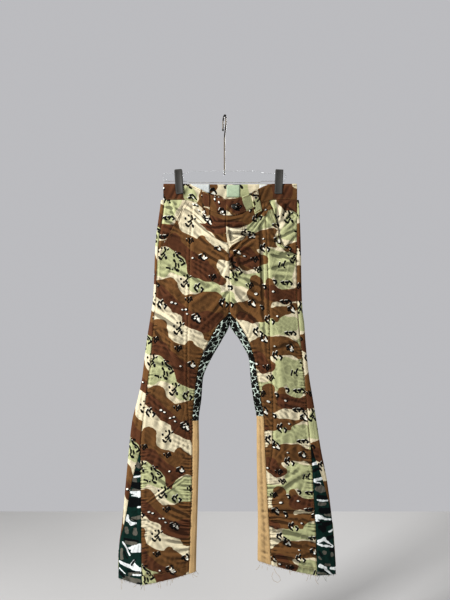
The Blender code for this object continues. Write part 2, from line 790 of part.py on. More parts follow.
def as_mesh(made):
    """The object as a welded mesh in its place."""
    bpy.context.view_layer.update()
    evaluated = made.evaluated_get(bpy.context.evaluated_depsgraph_get())
    data = bpy.data.meshes.new_from_object(evaluated)
    data.transform(made.matrix_world)
    mesh = bmesh.new()
    mesh.from_mesh(data)
    bmesh.ops.remove_doubles(mesh, verts=mesh.verts, dist=WELD)
    flat = math.radians(1)
    bmesh.ops.dissolve_limit(mesh, angle_limit=flat, verts=mesh.verts, edges=mesh.edges)
    bmesh.ops.recalc_face_normals(mesh, faces=mesh.faces)
    mesh.to_mesh(data)
    mesh.free()
    name, material = made.name, made.data.materials[0].name
    bpy.data.objects.remove(made)
    data.materials.clear()
    return add_object(name, data, material)


def bar_outline():
    """Clockwise from the left end: round-ended tongues and a taller plate between them."""
    top, bottom = (-drop for drop in BAR_TONGUE)
    plate_top, plate_bottom = (-drop for drop in BAR_PLATE)
    right = [(PLATE_HALF_LENGTH - SHOULDER, plate_top), (PLATE_HALF_LENGTH, top)]
    for start, middle in ((90, top - BAR_END_RADIUS), (0, bottom + BAR_END_RADIUS)):
        for turn in spread(start, start - 90, 4):
            angle = math.radians(turn)
            x = BAR_HALF_LENGTH - BAR_END_RADIUS * (1 - math.cos(angle))
            right.append((x, middle + BAR_END_RADIUS * math.sin(angle)))
    right += [(PLATE_HALF_LENGTH, bottom), (PLATE_HALF_LENGTH - SHOULDER, plate_bottom)]
    left = [(-x, z) for x, z in reversed(right)]
    return right + left


def make_bar():
    bar = as_mesh(flat_outline("hanger_bar", bar_outline(), BAR_THICKNESS, "acrylic"))
    drill_top, drill_bottom = BAR_PLATE[0] - 10, HOOK_SEAT + GAP
    bpy.ops.mesh.primitive_cylinder_add(
        vertices=12,
        radius=(WIRE / 2 + GAP) * MM,
        depth=(drill_bottom - drill_top) * MM,
        location=(0, 0, -(drill_bottom + drill_top) / 2 * MM),
    )
    drill = bpy.context.object
    drill.name = "hook_hole"
    drill.hide_render = True
    drill.display_type = "WIRE"
    for holder in list(drill.users_collection):
        holder.objects.unlink(drill)
    bpy.data.collections["cutters"].objects.link(drill)
    cut = bar.modifiers.new("hook_hole", "BOOLEAN")
    cut.operation = "DIFFERENCE"
    cut.object = drill
    cut.solver = "MANIFOLD"  # EXACT leaves the long edges open here


def hook_route():
    """Up the shank, forward, over the rod and down behind it, in the hook's own plane:
    (along, drop), with along positive towards the viewer."""
    bend = ROD_RADIUS + WIRE / 2
    route = [(0.0, drop) for drop in spread(HOOK_SEAT, HOOK_STRAIGHT, 3)]
    for share in spread(0.0, 1.0, 6)[1:]:
        drop = HOOK_STRAIGHT + (HOOK_FORWARD - HOOK_STRAIGHT) * share
        route.append((bend * ease(0, 1, share), drop))
    for turn in spread(0, 180, 12):
        angle = math.radians(turn)
        route.append((bend * math.cos(angle), ROD_RADIUS - bend * math.sin(angle)))
    route += [(-bend, (ROD_RADIUS + HOOK_END) / 2), (-bend - HOOK_FLARE, HOOK_END)]
    return route


def hook_place(along_hook, drop):
    turn = math.radians(HOOK_TURN)
    return Vector((along_hook * math.sin(turn), -along_hook * math.cos(turn), -drop))


def make_hook():
    curve = bpy.data.curves.new("hanger_hook", "CURVE")
    curve.dimensions = "3D"
    curve.bevel_depth = WIRE / 2 * MM
    curve.bevel_resolution = 2
    curve.use_fill_caps = True
    spline = curve.splines.new("POLY")
    route = hook_route()
    spline.points.add(len(route) - 1)
    for point, place in zip(spline.points, route):
        point.co = (*(hook_place(*place) * MM), 1)
    add_object("hanger_hook", curve, "steel")
    tip = hook_place(route[-1][0], HOOK_END + HOOK_TIP_RADIUS + GAP)
    bpy.ops.mesh.primitive_uv_sphere_add(
        segments=12, ring_count=8, radius=HOOK_TIP_RADIUS * MM, location=tip * MM
    )
    take_primitive("hook_tip", "clip")


def take_primitive(name, material):
    """Move the primitive just added into the model's collection."""
    made = bpy.context.object
    made.name = name
    for holder in list(made.users_collection):
        holder.objects.unlink(made)
    bpy.data.collections[MODEL].objects.link(made)
    made.data.materials.append(finish(material))
    made.data.shade_smooth()
    made.data.set_sharp_from_angle(angle=math.radians(40))
    return made


def make_clip(leg):
    """Two jaws that hold the waistband below the bar, and the spring barrel above it."""
    x, tilt = CLIP_PLACES[leg]
    height = CLIP_BOTTOM - CLIP_TOP
    turn = Matrix.Rotation(math.radians(tilt), 4, "Y")
    middle = Vector((x, 0, -(CLIP_TOP + CLIP_BOTTOM) / 2))
    for face, side in (("front", -1), ("back", 1)):
        bpy.ops.mesh.primitive_cube_add(size=1)
        jaw = take_primitive(f"clip_{leg}_{face}", "clip")
        size = (CLIP_WIDTH * MM, CLIP_WALL * MM, height * MM)
        jaw.data.transform(Matrix.Diagonal((*size, 1)))
        jaw.matrix_world = (
            Matrix.Translation((middle + Vector((0, side * (JAW_FACE + CLIP_WALL / 2), 0))) * MM)
            @ turn
        )
        rounding = jaw.modifiers.new("edges", "BEVEL")
        rounding.width = JAW_EDGE * MM
        rounding.segments = 2
    centre_up = turn @ Vector((0, 0, -SPRING_DROP - middle.z))
    bpy.ops.mesh.primitive_cylinder_add(
        vertices=14, radius=SPRING_RADIUS * MM, depth=SPRING_LENGTH * MM
    )
    spring = take_primitive(f"clip_{leg}_spring", "gunmetal")
    place = Vector((middle.x, 0, middle.z)) + centre_up
    spring.matrix_world = (
        Matrix.Translation(place * MM) @ turn @ Matrix.Rotation(math.radians(90), 4, "Y")
    )


# ---------------------------------------------------------------- the whole model


def main():
    for old in list(bpy.data.objects):
        bpy.data.objects.remove(old)
    for name in (MODEL, "cutters"):
        bpy.context.scene.collection.children.link(bpy.data.collections.new(name))
    for leg in ("left", "right"):
        make_leg(leg)
        make_clip(leg)
    make_waistband()
    belt_loop("belt_loop_front_left", "front", -50.5, -50.5)
    belt_loop("belt_loop_front_right", "front", 82.0, 94.0)
    belt_loop("belt_loop_back_left", "back", -86.0, -86.0)
    belt_loop("belt_loop_back_centre", "back", 16.0, 16.0)
    belt_loop("belt_loop_back_right", "back", 118.0, 118.0)
    waist_patch("waist_label", WAIST_LABEL, "pale_green")
    waist_patch("white_label", WHITE_LABEL, "white")
    waist_patch("waist_lining", LINING_PIECE, "white")
    make_button()
    make_bar()
    make_hook()


main()
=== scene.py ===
"""The looks of camouflage patchwork jeans that hang from a clear clip hanger.

Sizes are in millimetres unless a name or comment says otherwise, and MM turns them into
Blender's metres. X runs to the viewer's right, Y away from the viewer and Z up. The origin
is where the hook rests on its rod, and a drop is a distance below it.
"""

from __future__ import annotations

import logging
import math
from collections.abc import Callable, Sequence
from dataclasses import dataclass, field
from enum import Enum
from functools import partial

import bpy
import numpy as np
from mathutils import Euler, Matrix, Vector


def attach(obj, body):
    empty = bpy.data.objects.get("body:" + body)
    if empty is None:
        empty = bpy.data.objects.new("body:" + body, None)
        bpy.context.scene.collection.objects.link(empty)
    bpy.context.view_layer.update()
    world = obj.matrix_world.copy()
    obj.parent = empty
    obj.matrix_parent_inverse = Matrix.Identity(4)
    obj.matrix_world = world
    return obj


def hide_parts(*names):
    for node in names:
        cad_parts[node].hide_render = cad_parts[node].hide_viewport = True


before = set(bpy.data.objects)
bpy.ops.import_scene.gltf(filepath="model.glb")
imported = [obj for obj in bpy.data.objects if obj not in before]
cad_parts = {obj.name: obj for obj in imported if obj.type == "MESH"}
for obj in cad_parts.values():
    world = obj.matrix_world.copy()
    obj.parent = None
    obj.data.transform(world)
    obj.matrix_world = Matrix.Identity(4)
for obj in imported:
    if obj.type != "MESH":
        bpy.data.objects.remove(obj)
LOG = logging.getLogger("jeans")
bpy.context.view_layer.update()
MM = 0.001
BODY = "root"
Array = np.ndarray
Edge = Callable[[Array], Array]  # the turn of an edge at each drop
Lift = Callable[[Array, Array], Array]  # how far cloth stands out, from X and drop


class Leg(Enum):
    """Which leg, as the viewer sees it."""

    LEFT = "left"
    RIGHT = "right"

    @property
    def sign(self) -> float:
        """-1 for the left leg and 1 for the right."""
        return -1.0 if self is Leg.LEFT else 1.0


class Face(Enum):
    """Which side of the garment."""

    FRONT = "front"
    BACK = "back"


# ------------------------------------------------------------------ curves and numbers


class Curve:
    """A monotone cubic through (place, value) points, level beyond its ends."""

    def __init__(self, points: Sequence[tuple[float, float]]) -> None:
        """Work out the slope at each point.

        Args:
            points: (place, value) pairs in rising order of place.
        """
        self.places, self.values = np.array(points, float).T
        steps = np.diff(self.values) / np.diff(self.places)
        before, after = steps[:-1], steps[1:]
        total = np.where(np.abs(before + after) < 1e-12, 1.0, before + after)
        inner = np.where(before * after > 0, 2 * (before * after) / total, 0.0)
        self.slopes = np.concatenate((steps[:1], inner, steps[-1:]))

    def __call__(self, at: Array | float) -> Array:
        """Value at each place.

        Args:
            at: Places.

        Returns:
            The values, in the same shape.
        """
        at = np.clip(np.asarray(at, float), self.places[0], self.places[-1])
        low = np.clip(np.searchsorted(self.places, at) - 1, 0, len(self.places) - 2)
        span = self.places[low + 1] - self.places[low]
        t = (at - self.places[low]) / span
        start = (2 * t**3 - 3 * t**2 + 1) * self.values[low]
        start += (t**3 - 2 * t**2 + t) * span * self.slopes[low]
        end = (3 * t**2 - 2 * t**3) * self.values[low + 1]
        return start + end + (t**3 - t**2) * span * self.slopes[low + 1]


def curves(names: Sequence[str], rows: Sequence[tuple[float, ...]]) -> dict[str, Curve]:
    """A curve for each column of a table, over its first one.

    Args:
        names: Names of the columns after the first.
        rows: The table.

    Returns:
        The curves by name.
    """
    columns = np.array(rows, float).T
    return {name: Curve(np.stack((columns[0], found), 1)) for name, found in zip(names, columns[1:])}


def ease(start: float, end: float, at: Array | float) -> Array:
    """0 before start, 1 after end, and smooth between them."""
    t = np.clip((np.asarray(at, float) - start) / (end - start), 0.0, 1.0)
    return t * t * (3 - 2 * t)


def ridge(away: Array, half_width: float, height: float) -> Array:
    """A soft ridge about 0, or a trough where its height is negative."""
    return height * np.exp(-((away / half_width) ** 2))


def uneven(at: Array, pitch: float, seed: float) -> Array:
    """Ripples of about this pitch that vary in width and height, from about -1 to 1.

    Args:
        at: Distances along the ripples' run.
        pitch: Mean distance between ripples.
        seed: Any number; it moves the pattern.

    Returns:
        The ripple's height at each distance.
    """
    phase = at / pitch * math.tau + seed
    phase = phase + 1.3 * np.sin(at / pitch * 1.9 + 2.1 * seed) + 0.8 * np.sin(at / pitch * 0.7)
    strength = 0.62 + 0.38 * np.sin(at / pitch * 1.13 + 3.7 * seed)
    return np.sin(phase) * strength


def steps_between(start: float, end: float, step: float) -> int:
    """The even number of steps, no longer than this, from start to end."""
    return 2 * math.ceil(abs(end - start) / step / 2)


def rows_between(top: float, bottom: float, step: float) -> Array:
    """Drops from top to bottom, in a column, no further apart than the step."""
    return np.linspace(top, bottom, steps_between(top, bottom, step) + 1)[:, None]


def travelled(points: Array) -> Array:
    """The distance covered at each point of a line."""
    steps = np.linalg.norm(np.diff(points, axis=0), axis=1)
    return np.concatenate(((0.0,), np.cumsum(steps)))


# ------------------------------------------------------------------ the garment's form


@dataclass(frozen=True)
class Levels:
    """Drops at which a leg's pieces end, and how its hem slants."""

    leopard_end: float
    panel_end: float
    godet_apex: float
    godet_top: float
    hem_seam: float
    hem: float
    hem_slant: float
    godet_slant: float
    pocket_end: float
    pocket_foot: float


LEVELS = {
    Leg.LEFT: Levels(851, 918, 934, 946, 1246, 1268, 0.21, -0.2, 375, 372),
    Leg.RIGHT: Levels(838, 985, 920, 932, 1222, 1238, 0.22, 0.02, 388, 385),
}


@dataclass(frozen=True)
class Fold:
    """A soft ridge, or a trough where its height is negative, along a line."""

    x: float
    drop: float
    angle: float
    half_length: float
    half_width: float
    height: float

    def height_at(self, x: Array, drop: Array) -> Array:
        """How far it raises each point.

        Args:
            x: X of each point.
            drop: Drop of each point.

        Returns:
            Heights.
        """
        turn = math.radians(self.angle)
        along = (x - self.x) * math.cos(turn) + (drop - self.drop) * math.sin(turn)
        across = (drop - self.drop) * math.cos(turn) - (x - self.x) * math.sin(turn)
        across = across + 0.09 * self.half_width * np.sin(along / self.half_length * 4.0)
        lies = -((along / self.half_length) ** 2) - (across / self.half_width) ** 2
        return self.height * np.exp(np.maximum(lies, -30.0))


@dataclass(frozen=True)
class Pucker:
    """A run of short level ripples where a seam has drawn the cloth in."""

    leg: Leg
    face: Face
    seam: str
    start: float
    end: float
    pitch: float
    reach: float
    height: float
    side: float

    def height_at(self, away: Array, drop: Array, seed: float) -> Array:
        """How far it raises each point.

        Args:
            away: How far each point lies from the seam, on the ripples' side of it.
            drop: Drop of each point.
            seed: Any number; it moves the ripples.

        Returns:
            Heights.
        """
        near = np.where(away >= 0, ridge(away, self.reach, 1.0), 0.0)
        run = ease(self.start, self.start + 30, drop)
        run = run * (1 - ease(self.end - 20, self.end, drop))
        return self.height * uneven(drop + 0.12 * away, self.pitch, seed) * near * run


# Drop, and X of each seam of a leg there
SEAMS = ("outer", "side", "godet", "panel", "strip", "inner")
LEGS = {
    Leg.LEFT: (
        (190, -172, -169, -169, -90, 14, 14), (246, -179, -169, -169, -91, 14, 14),
        (361, -194, -185, -185, -96, 14, 14), (504, -200, -192, -192, -99, 14, 14),
        (544, -205, -195, -195, -101, 14, 14), (582, -211, -198, -198, -102, -15, 14),
        (627, -218, -202, -202, -104, -41, -7), (683, -225, -206, -206, -104, -66, -39),
        (734, -231, -212, -212, -104, -78, -60), (795, -244, -220, -220, -103, -85, -65),
        (851, -258, -227, -227, -100, -89, -72), (930, -267, -233, -235, -92, -89, -71),
        (1019, -275, -232, -257, -90, -90, -73), (1131, -285, -230, -277, -94, -94, -76),
        (1200, -294, -229, -294, -96, -96, -78), (1299, -296, -226, -296, -100, -100, -80),
    ),
    Leg.RIGHT: (
        (190, 204, 203, 203, 112, 14, 14), (246, 209, 203, 203, 113, 14, 14),
        (361, 214, 202, 202, 118, 14, 14), (504, 217, 203, 203, 123, 14, 14),
        (544, 219, 205, 205, 124, 14, 14), (582, 224, 208, 208, 125, 41, 14),
        (627, 227, 212, 212, 125, 66, 42), (683, 232, 218, 218, 127, 84, 69),
        (734, 238, 223, 223, 131, 92, 73), (795, 248, 228, 228, 134, 102, 81),
        (851, 257, 233, 233, 135, 110, 90), (930, 269, 240, 245, 133, 113, 90),
        (1019, 286, 245, 274, 117, 117, 91), (1131, 300, 251, 300, 123, 123, 93),
        (1243, 310, 256, 310, 129, 129, 92), (1299, 311, 258, 311, 132, 132, 92),
    ),
}
# Drop, half depths before and behind the middle plane, that plane's Y, and the waist's bulges
DEPTHS = ("front", "back", "middle", "front_bulge", "back_bulge")
DEPTH_ROWS = (
    (190, 3, 3, 0, 26, 5), (220, 3, 3, 0, 25, 5), (250, 6, 7, 0, 22, 5), (300, 12, 15, 2, 15, 4),
    (380, 18, 24, 4, 8, 3), (470, 21, 28, 5, 2, 1), (582, 22, 25, 4, 0, 0), (740, 18, 18, 2, 0, 0),
    (900, 15, 15, -2, 0, 0), (1080, 17, 17, -6, 0, 0), (1299, 22, 22, -8, 0, 0),
)
SEAM_CURVES = {leg: curves(SEAMS, rows) for leg, rows in LEGS.items()}
DEPTH_CURVES = curves(DEPTHS, DEPTH_ROWS)
POCKET_MOUTH = {
    Leg.LEFT: Curve(((190, -104), (235, -106), (262, -120), (362, -172), (378, -187))),
    Leg.RIGHT: Curve(
        ((190, 118), (235, 124), (262, 133), (308, 148), (339, 153), (361, 162), (393, 204))
    ),
}
FLY_LINE = Curve(((190, 4), (246, 4), (320, 7), (365, 13), (425, 14), (620, 14)))

# The large folds, which the solids have too. In both tables a fold is its middle's X and drop,
# its angle, half length and half width, and its height
LARGE_FOLDS = {
    Face.FRONT: (
        (46, 290, 24, 55, 11, 4), (40, 318, 18, 50, 10, -3.5), (-22, 300, -30, 45, 12, 3.5),
        (168, 388, -8, 34, 9, -5), (166, 412, -4, 36, 11, 3.5), (126, 420, 86, 150, 13, 4),
        (150, 262, 40, 40, 12, 4.5), (178, 280, -35, 36, 10, -3.5), (-150, 480, -60, 70, 16, 3),
        (-175, 590, 70, 90, 16, 3.5), (-132, 720, 86, 130, 16, 3), (152, 720, 88, 140, 15, 3.5),
        (60, 560, 40, 50, 13, -3.5), (-40, 545, -38, 60, 13, 3), (196, 975, 12, 60, 16, 4),
        (178, 1101, 2, 50, 10, -6), (190, 1136, 12, 60, 12, 4.5), (-130, 1040, 40, 50, 14, 3),
        (-122, 1150, 22, 36, 13, -3.5), (180, 1205, 4, 60, 11, 4),
    ),
    Face.BACK: (
        (15, 330, 4, 70, 18, 3.5), (-60, 470, -30, 80, 18, -4), (92, 480, 32, 80, 18, -4),
        (-120, 640, 74, 120, 18, 4), (140, 660, -74, 120, 18, 4), (-170, 900, 10, 70, 16, -4),
        (185, 930, -12, 70, 16, -4), (-190, 1110, -14, 75, 15, 4), (205, 1120, 10, 75, 15, 4),
    ),
}
# The smaller creases. The back hangs much as the front does
CREASES = {
    Face.FRONT: (
        # crumpled cloth on both sides of the fly
        (33, 262, 12, 20, 4.5, 3.3), (36, 274, 8, 22, 4, -3), (34, 287, 20, 20, 4.5, 3),
        (38, 300, 14, 22, 4, -2.6), (34, 322, -30, 24, 4.5, 3), (30, 352, -52, 34, 5, -3.6),
        (42, 372, -42, 40, 6, 3.3), (60, 340, -30, 34, 6, -3), (-4, 330, 48, 40, 6, -3.3),
        (-20, 372, 42, 46, 7, 3.3), (-44, 352, 36, 42, 7, -2.6), (22, 405, 80, 30, 5, -4.3),
        (34, 420, 62, 34, 6, 3), (4, 430, -70, 34, 6, 2.6), (20, 408, 74, 26, 5, -6),
        (30, 404, 66, 30, 4.5, 3.6), (-150, 258, 10, 22, 4, -3), (96, 268, -40, 30, 4.5, -3.2),
        (104, 282, -52, 34, 4.5, 3), (186, 262, 40, 26, 4, -3), (186, 352, -50, 36, 5, -3),
        (148, 356, 52, 40, 5, 2.6), (82, 468, 24, 46, 6, -2.6), (-92, 452, 28, 56, 7, -2.4),
        (-150, 700, 14, 46, 6, -2.2), (168, 640, -16, 50, 7, -2.2), (176, 800, 10, 46, 6, 2.2),
        (20, 250, -6, 26, 3.5, -3.6), (-8, 262, -14, 26, 3.5, 3), (-14, 276, -22, 30, 4, -3.2),
        (17, 300, 84, 34, 4.5, -4.4), (24, 392, -58, 30, 4, -5), (26, 378, -62, 34, 4.5, 4),
        (50, 296, 28, 26, 4, 3), (60, 312, 22, 30, 4, -3.2), (76, 402, -24, 34, 5, -3),
        (-30, 400, 34, 30, 5, -3), (-60, 300, 30, 40, 5, -2.6), (-90, 262, 24, 30, 4, 2.6),
        # under the right clip
        (130, 250, 62, 28, 4.5, -4.3), (138, 262, 74, 30, 4, 4), (146, 270, 84, 28, 4, -3.6),
        (158, 266, -80, 28, 4, 3.3), (170, 262, -64, 30, 4.5, -3.3), (120, 290, 54, 36, 6, 3),
        (186, 300, -44, 32, 5, 2.6), (176, 330, -24, 30, 5, -2.3),
        # under the left clip
        (-140, 262, 70, 26, 4.5, 3), (-120, 268, -76, 28, 4.5, -2.6), (-150, 300, 28, 26, 5, -2.6),
        (-148, 326, 18, 24, 5, 2.3),
        # right hip, below the pocket
        (172, 398, 12, 38, 3.2, -4.6), (182, 406, 24, 34, 3, 3.6), (156, 420, -14, 40, 5, -2.6),
        (150, 440, 4, 46, 6, 2.1),
        # the pleat down the right leg's inner panel
        (104, 430, 88, 110, 4.5, -4.3), (113, 500, 88, 90, 5, 3), (108, 640, 84, 70, 6, 2),
        # fork of the legs
        (-10, 520, -56, 46, 6, -3), (-34, 560, -44, 44, 6, 2.6), (40, 520, 54, 46, 6, 3),
        (72, 560, 46, 44, 6, -2.6), (-62, 500, -32, 60, 8, 2.1), (88, 505, 30, 50, 7, 2.3),
        # left thigh
        (-180, 548, 34, 36, 7, 3), (-172, 566, 30, 40, 6, -3), (-160, 590, 24, 42, 7, 2.5),
        (-186, 612, 60, 36, 6, -2.3), (-140, 660, 82, 60, 8, 2),
        # left lower leg
        (-152, 1030, 34, 46, 7, -2.3), (-126, 1090, 30, 34, 5, 3), (-118, 1104, 26, 32, 4.5, -3),
        (-120, 1128, 20, 34, 5, 2.8), (-116, 1168, 18, 34, 5, 3.1), (-120, 1182, 12, 36, 4.5, -3),
        (-118, 1212, 8, 34, 5, 2.6),
        # the patched seam across the left lower leg
        (-160, 1038, -35.5, 46, 1.8, -2.4), (-158, 1041.5, -35.5, 44, 2.2, 1.6),
        (-161, 1034, -35.5, 44, 2.4, 1),
        # the right hem, which rolls over
        (152, 1210, 2, 64, 3.4, -3.4), (146, 1219, 2, 60, 4.2, 3),
        # right lower leg
        (176, 1012, -30, 70, 8, 2.5), (150, 1046, -34, 60, 8, -2.3), (160, 1101, 1, 60, 3.5, -4.9),
        (165, 1110, 3, 56, 4, 3.3), (150, 1126, 10, 46, 4.5, -3.6), (158, 1140, 12, 52, 5, 3),
        (150, 1162, 4, 46, 4.5, 3.3), (158, 1176, 8, 52, 5, -3), (168, 1192, -6, 60, 5, 2.5),
        (160, 1212, -12, 44, 4.5, -3.6), (230, 1150, 16, 40, 9, 2.1),
    ),
    Face.BACK: (
        (15, 420, 80, 60, 6, -3), (-20, 520, -40, 60, 7, 3), (52, 520, 42, 60, 7, 3),
        (-50, 548, -36, 60, 7, -2.6), (84, 548, 38, 60, 7, -2.6), (-90, 430, -20, 70, 8, 2.3),
        (120, 430, 18, 70, 8, 2.3), (-130, 280, 60, 34, 5, 3), (-112, 284, -70, 34, 5, -3),
        (150, 280, 66, 34, 5, -3), (166, 284, -66, 34, 5, 3), (-180, 700, 70, 70, 8, 2.3),
        (190, 720, -72, 70, 8, 2.3), (-150, 860, 8, 60, 6, 2.6), (-165, 880, 4, 56, 5, -2.5),
        (170, 880, -8, 60, 6, 2.6), (-170, 1010, 16, 60, 7, 2.5), (190, 1030, -14, 60, 7, 2.5),
        (-190, 1170, -6, 70, 6, -2.6), (205, 1190, 6, 70, 6, -2.6),
    ),
}
FOLDS = {face: [Fold(*row) for row in LARGE_FOLDS[face] + CREASES[face]] for face in Face}
PUCKERS = (
    Pucker(Leg.LEFT, Face.FRONT, "side", 560, 830, 8.0, 11, 1.4, 1),
    Pucker(Leg.LEFT, Face.FRONT, "side", 900, 1240, 7.5, 15, 2.1, 1),
    Pucker(Leg.LEFT, Face.FRONT, "strip", 940, 1240, 8.5, 24, 3.2, -1),
    Pucker(Leg.LEFT, Face.FRONT, "strip", 600, 900, 9.0, 12, 1.4, -1),
    Pucker(Leg.LEFT, Face.FRONT, "panel", 300, 900, 11.0, 7, 0.8, -1),
    Pucker(Leg.RIGHT, Face.FRONT, "side", 620, 860, 9.0, 12, 1.8, 1),
    Pucker(Leg.RIGHT, Face.FRONT, "side", 900, 1220, 8.0, 16, 2.6, 1),
    Pucker(Leg.RIGHT, Face.FRONT, "strip", 1000, 1220, 8.0, 26, 2.9, -1),
    Pucker(Leg.RIGHT, Face.FRONT, "strip", 600, 960, 9.5, 11, 1.4, -1),
    Pucker(Leg.RIGHT, Face.FRONT, "panel", 320, 900, 11.0, 7, 1.0, 1),
    Pucker(Leg.LEFT, Face.BACK, "side", 600, 1240, 9.0, 14, 1.9, 1),
    Pucker(Leg.RIGHT, Face.BACK, "side", 600, 1220, 9.0, 14, 1.9, 1),
    Pucker(Leg.LEFT, Face.BACK, "strip", 640, 1240, 9.5, 18, 2.2, -1),
    Pucker(Leg.RIGHT, Face.BACK, "strip", 640, 1220, 9.5, 18, 2.2, -1),
)


@dataclass(frozen=True)
class Form:
    """Where the cloth lies. A place on a leg is a drop and a turn: 0 at the outer fold, 1 at
    the inner end of the front, -1 at that of the back, and over 1 where a strip of cloth goes
    on round to the back."""

    waist_top: float = 190.0
    waist_seam: float = 235.0
    crotch_front: float = 544.0
    crotch_under: float = 582.0
    fork_start: float = 500.0
    knee: float = 1130.0
    sag_middle: float = 13.0
    sag_half_width: float = 125.0
    sag_depth: float = 48.0
    sag_fades: tuple[float, float] = (240.0, 420.0)
    back_centre: float = 14.0
    seam_half: float = 0.15
    edge_radius: float = 6.5
    waist_edge_radius: float = 3.0
    pinch_ends: tuple[float, float] = (225.0, 300.0)
    fold_fade: float = 0.2
    turn_step: float = 0.002
    seam_dip: float = 1.1
    seam_dip_width: float = 2.6
    canvas_calm: float = 0.2

    def parted(self, drop: Array) -> Array:
        """How far the section has parted into two legs, from 0 to 1."""
        return ease(self.fork_start, self.crotch_under, drop)

    def centre(self, leg: Leg, drop: Array, face: Face) -> Array:
        """X of the centre seam, on this leg's side of its gap."""
        middle = FLY_LINE(drop) if face is Face.FRONT else self.back_centre
        return middle + leg.sign * self.seam_half

    def seam(self, leg: Leg, name: str, drop: Array, face: Face = Face.FRONT) -> Array:
        """X of a seam at each drop.

        Args:
            leg: The leg.
            name: A column of LEGS.
            drop: Drops.
            face: Front or back, which differ in the centre seam alone.

        Returns:
            X of the seam. Above the crotch, strip and inner are the centre seam.
        """
        away = SEAM_CURVES[leg][name](drop)
        if name not in ("strip", "inner"):
            return away
        start = self.crotch_front if name == "strip" else self.crotch_under
        middle = self.centre(leg, drop, face)
        nearer = np.minimum(away, middle) if leg is Leg.LEFT else np.maximum(away, middle)
        return np.where(np.asarray(drop) <= start, middle, nearer)

    def between_clips(self, x: Array) -> Array:
        """1 midway between the clips, and 0 at and beyond them."""
        away = np.clip((x - self.sag_middle) / self.sag_half_width, -1.0, 1.0)
        return (1 - away * away) ** 2

    def sag(self, x: Array, drop: Array) -> Array:
        """How much lower the front hangs between the clips."""
        return self.sag_depth * self.between_clips(x) * (1 - ease(*self.sag_fades, drop))

    def relief(self, leg: Leg, face: Face, x: Array, drop: Array) -> Array:
        """How far the creases stand out.

        Args:
            leg: The leg.
            face: Front or back.
            x: X of each point.
            drop: Drop of each point.

        Returns:
            Heights, negative in a trough.
        """
        total = np.zeros(np.broadcast(x, drop).shape)
        for fold in FOLDS[face]:
            total += fold.height_at(x, drop)
        on_canvas = leg.sign * (x - self.seam(leg, "strip", drop, face)) < 0
        on_canvas = on_canvas & (drop > LEVELS[leg].leopard_end)
        total = np.where(on_canvas, self.canvas_calm * total, total)
        total = (total + self.crumple(x, drop)) * ease(self.waist_seam, self.waist_seam + 16, drop)
        for seed, pucker in enumerate(PUCKERS):
            if pucker.leg is leg and pucker.face is face:
                away = x - self.seam(leg, pucker.seam, drop, face)
                total += pucker.height_at(away * -leg.sign * pucker.side, drop, seed)
        return total + self.seam_relief(leg, face, x, drop)

    @staticmethod
    def crumple(x: Array, drop: Array) -> Array:
        """The surface of washed cotton: low swells, crossed by fine winding creases.

        Args:
            x: X of each point.
            drop: Drop of each point.

        Returns:
            Heights.
        """
        total = 0.7 * uneven(x + 0.15 * drop, 37.0, 1.0) * uneven(drop - 0.2 * x, 131.0, 2.0)
        total += 0.4 * uneven(x - 0.6 * drop, 21.0, 5.0) * uneven(drop + 0.4 * x, 29.0, 3.0)
        for pitch, height, seed in ((67.0, 0.5, 4.0), (29.0, 0.3, 9.0)):
            level = uneven(x + 0.5 * drop, pitch, seed)
            level = level + uneven(drop - 0.7 * x, 1.4 * pitch, seed + 1)
            strength = 0.5 + 0.5 * uneven(x - 0.3 * drop, 3.1 * pitch, seed + 2)
            total += height * strength * ridge(level, 0.22, 1.0)
        return total

    def seam_relief(self, leg: Leg, face: Face, x: Array, drop: Array) -> Array:
        """The dip at each seam, where the allowances pull the cloth in.

        Args:
            leg: The leg.
            face: Front or back.
            x: X of each point.
            drop: Drop of each point.

        Returns:
            Heights, negative in the dip.
        """
        total = np.zeros(np.broadcast(x, drop).shape)
        for name in ("side", "panel", "strip") if face is Face.FRONT else ("strip",):
            away = (x - self.seam(leg, name, drop, face)) / self.seam_dip_width
            dip = ridge(away, 1.0, -self.seam_dip)
            dip = dip + ridge(np.abs(away) - 2.2, 1.0, 0.35 * self.seam_dip)
            gone = (name == "panel") & (drop > LEVELS[leg].panel_end)
            total += np.where(gone, 0.0, dip)
        return total * ease(self.waist_seam, self.waist_seam + 12, drop)

    def half_depth(self, leg: Leg, face: Face, x: Array, drop: Array) -> Array:
        """How far the uncreased cloth stands from its middle plane.

        Args:
            leg: The leg.
            face: Front or back.
            x: X of each point.
            drop: Drop of each point.

        Returns:
            Half depths: a section of both legs together, which parts into one for each leg.
        """
        radius = self.edge_radius - self.waist_edge_radius
        radius = self.waist_edge_radius + radius * ease(*self.pinch_ends, drop)
        full = DEPTH_CURVES[face.value](drop) - radius
        outer, inner = self.seam(leg, "outer", drop), self.seam(leg, "inner", drop, face)
        left, right = (self.seam(side, "outer", drop) for side in Leg)
        across = (2 * x - left - right) / (right - left)
        rounded = self.round_edge(np.abs(x - outer), radius)
        whole = radius * rounded + full * np.maximum(0.0, 1 - across * across)
        whole = whole + DEPTH_CURVES[face.value + "_bulge"](drop) * self.between_clips(x)
        across = (2 * x - outer - inner) / (outer - inner)
        alone = radius * rounded * self.round_edge(np.abs(x - inner), radius)
        alone = alone + full * np.maximum(0.0, 1 - across * across)
        return whole + (alone - whole) * self.parted(drop)

    @staticmethod
    def round_edge(distance: Array, radius: Array) -> Array:
        """Share of a fold's radius that the cloth has reached, this far from the fold."""
        share = np.minimum(distance / radius, 1.0)
        return np.sqrt(np.maximum(0.0, 2 * share - share * share))

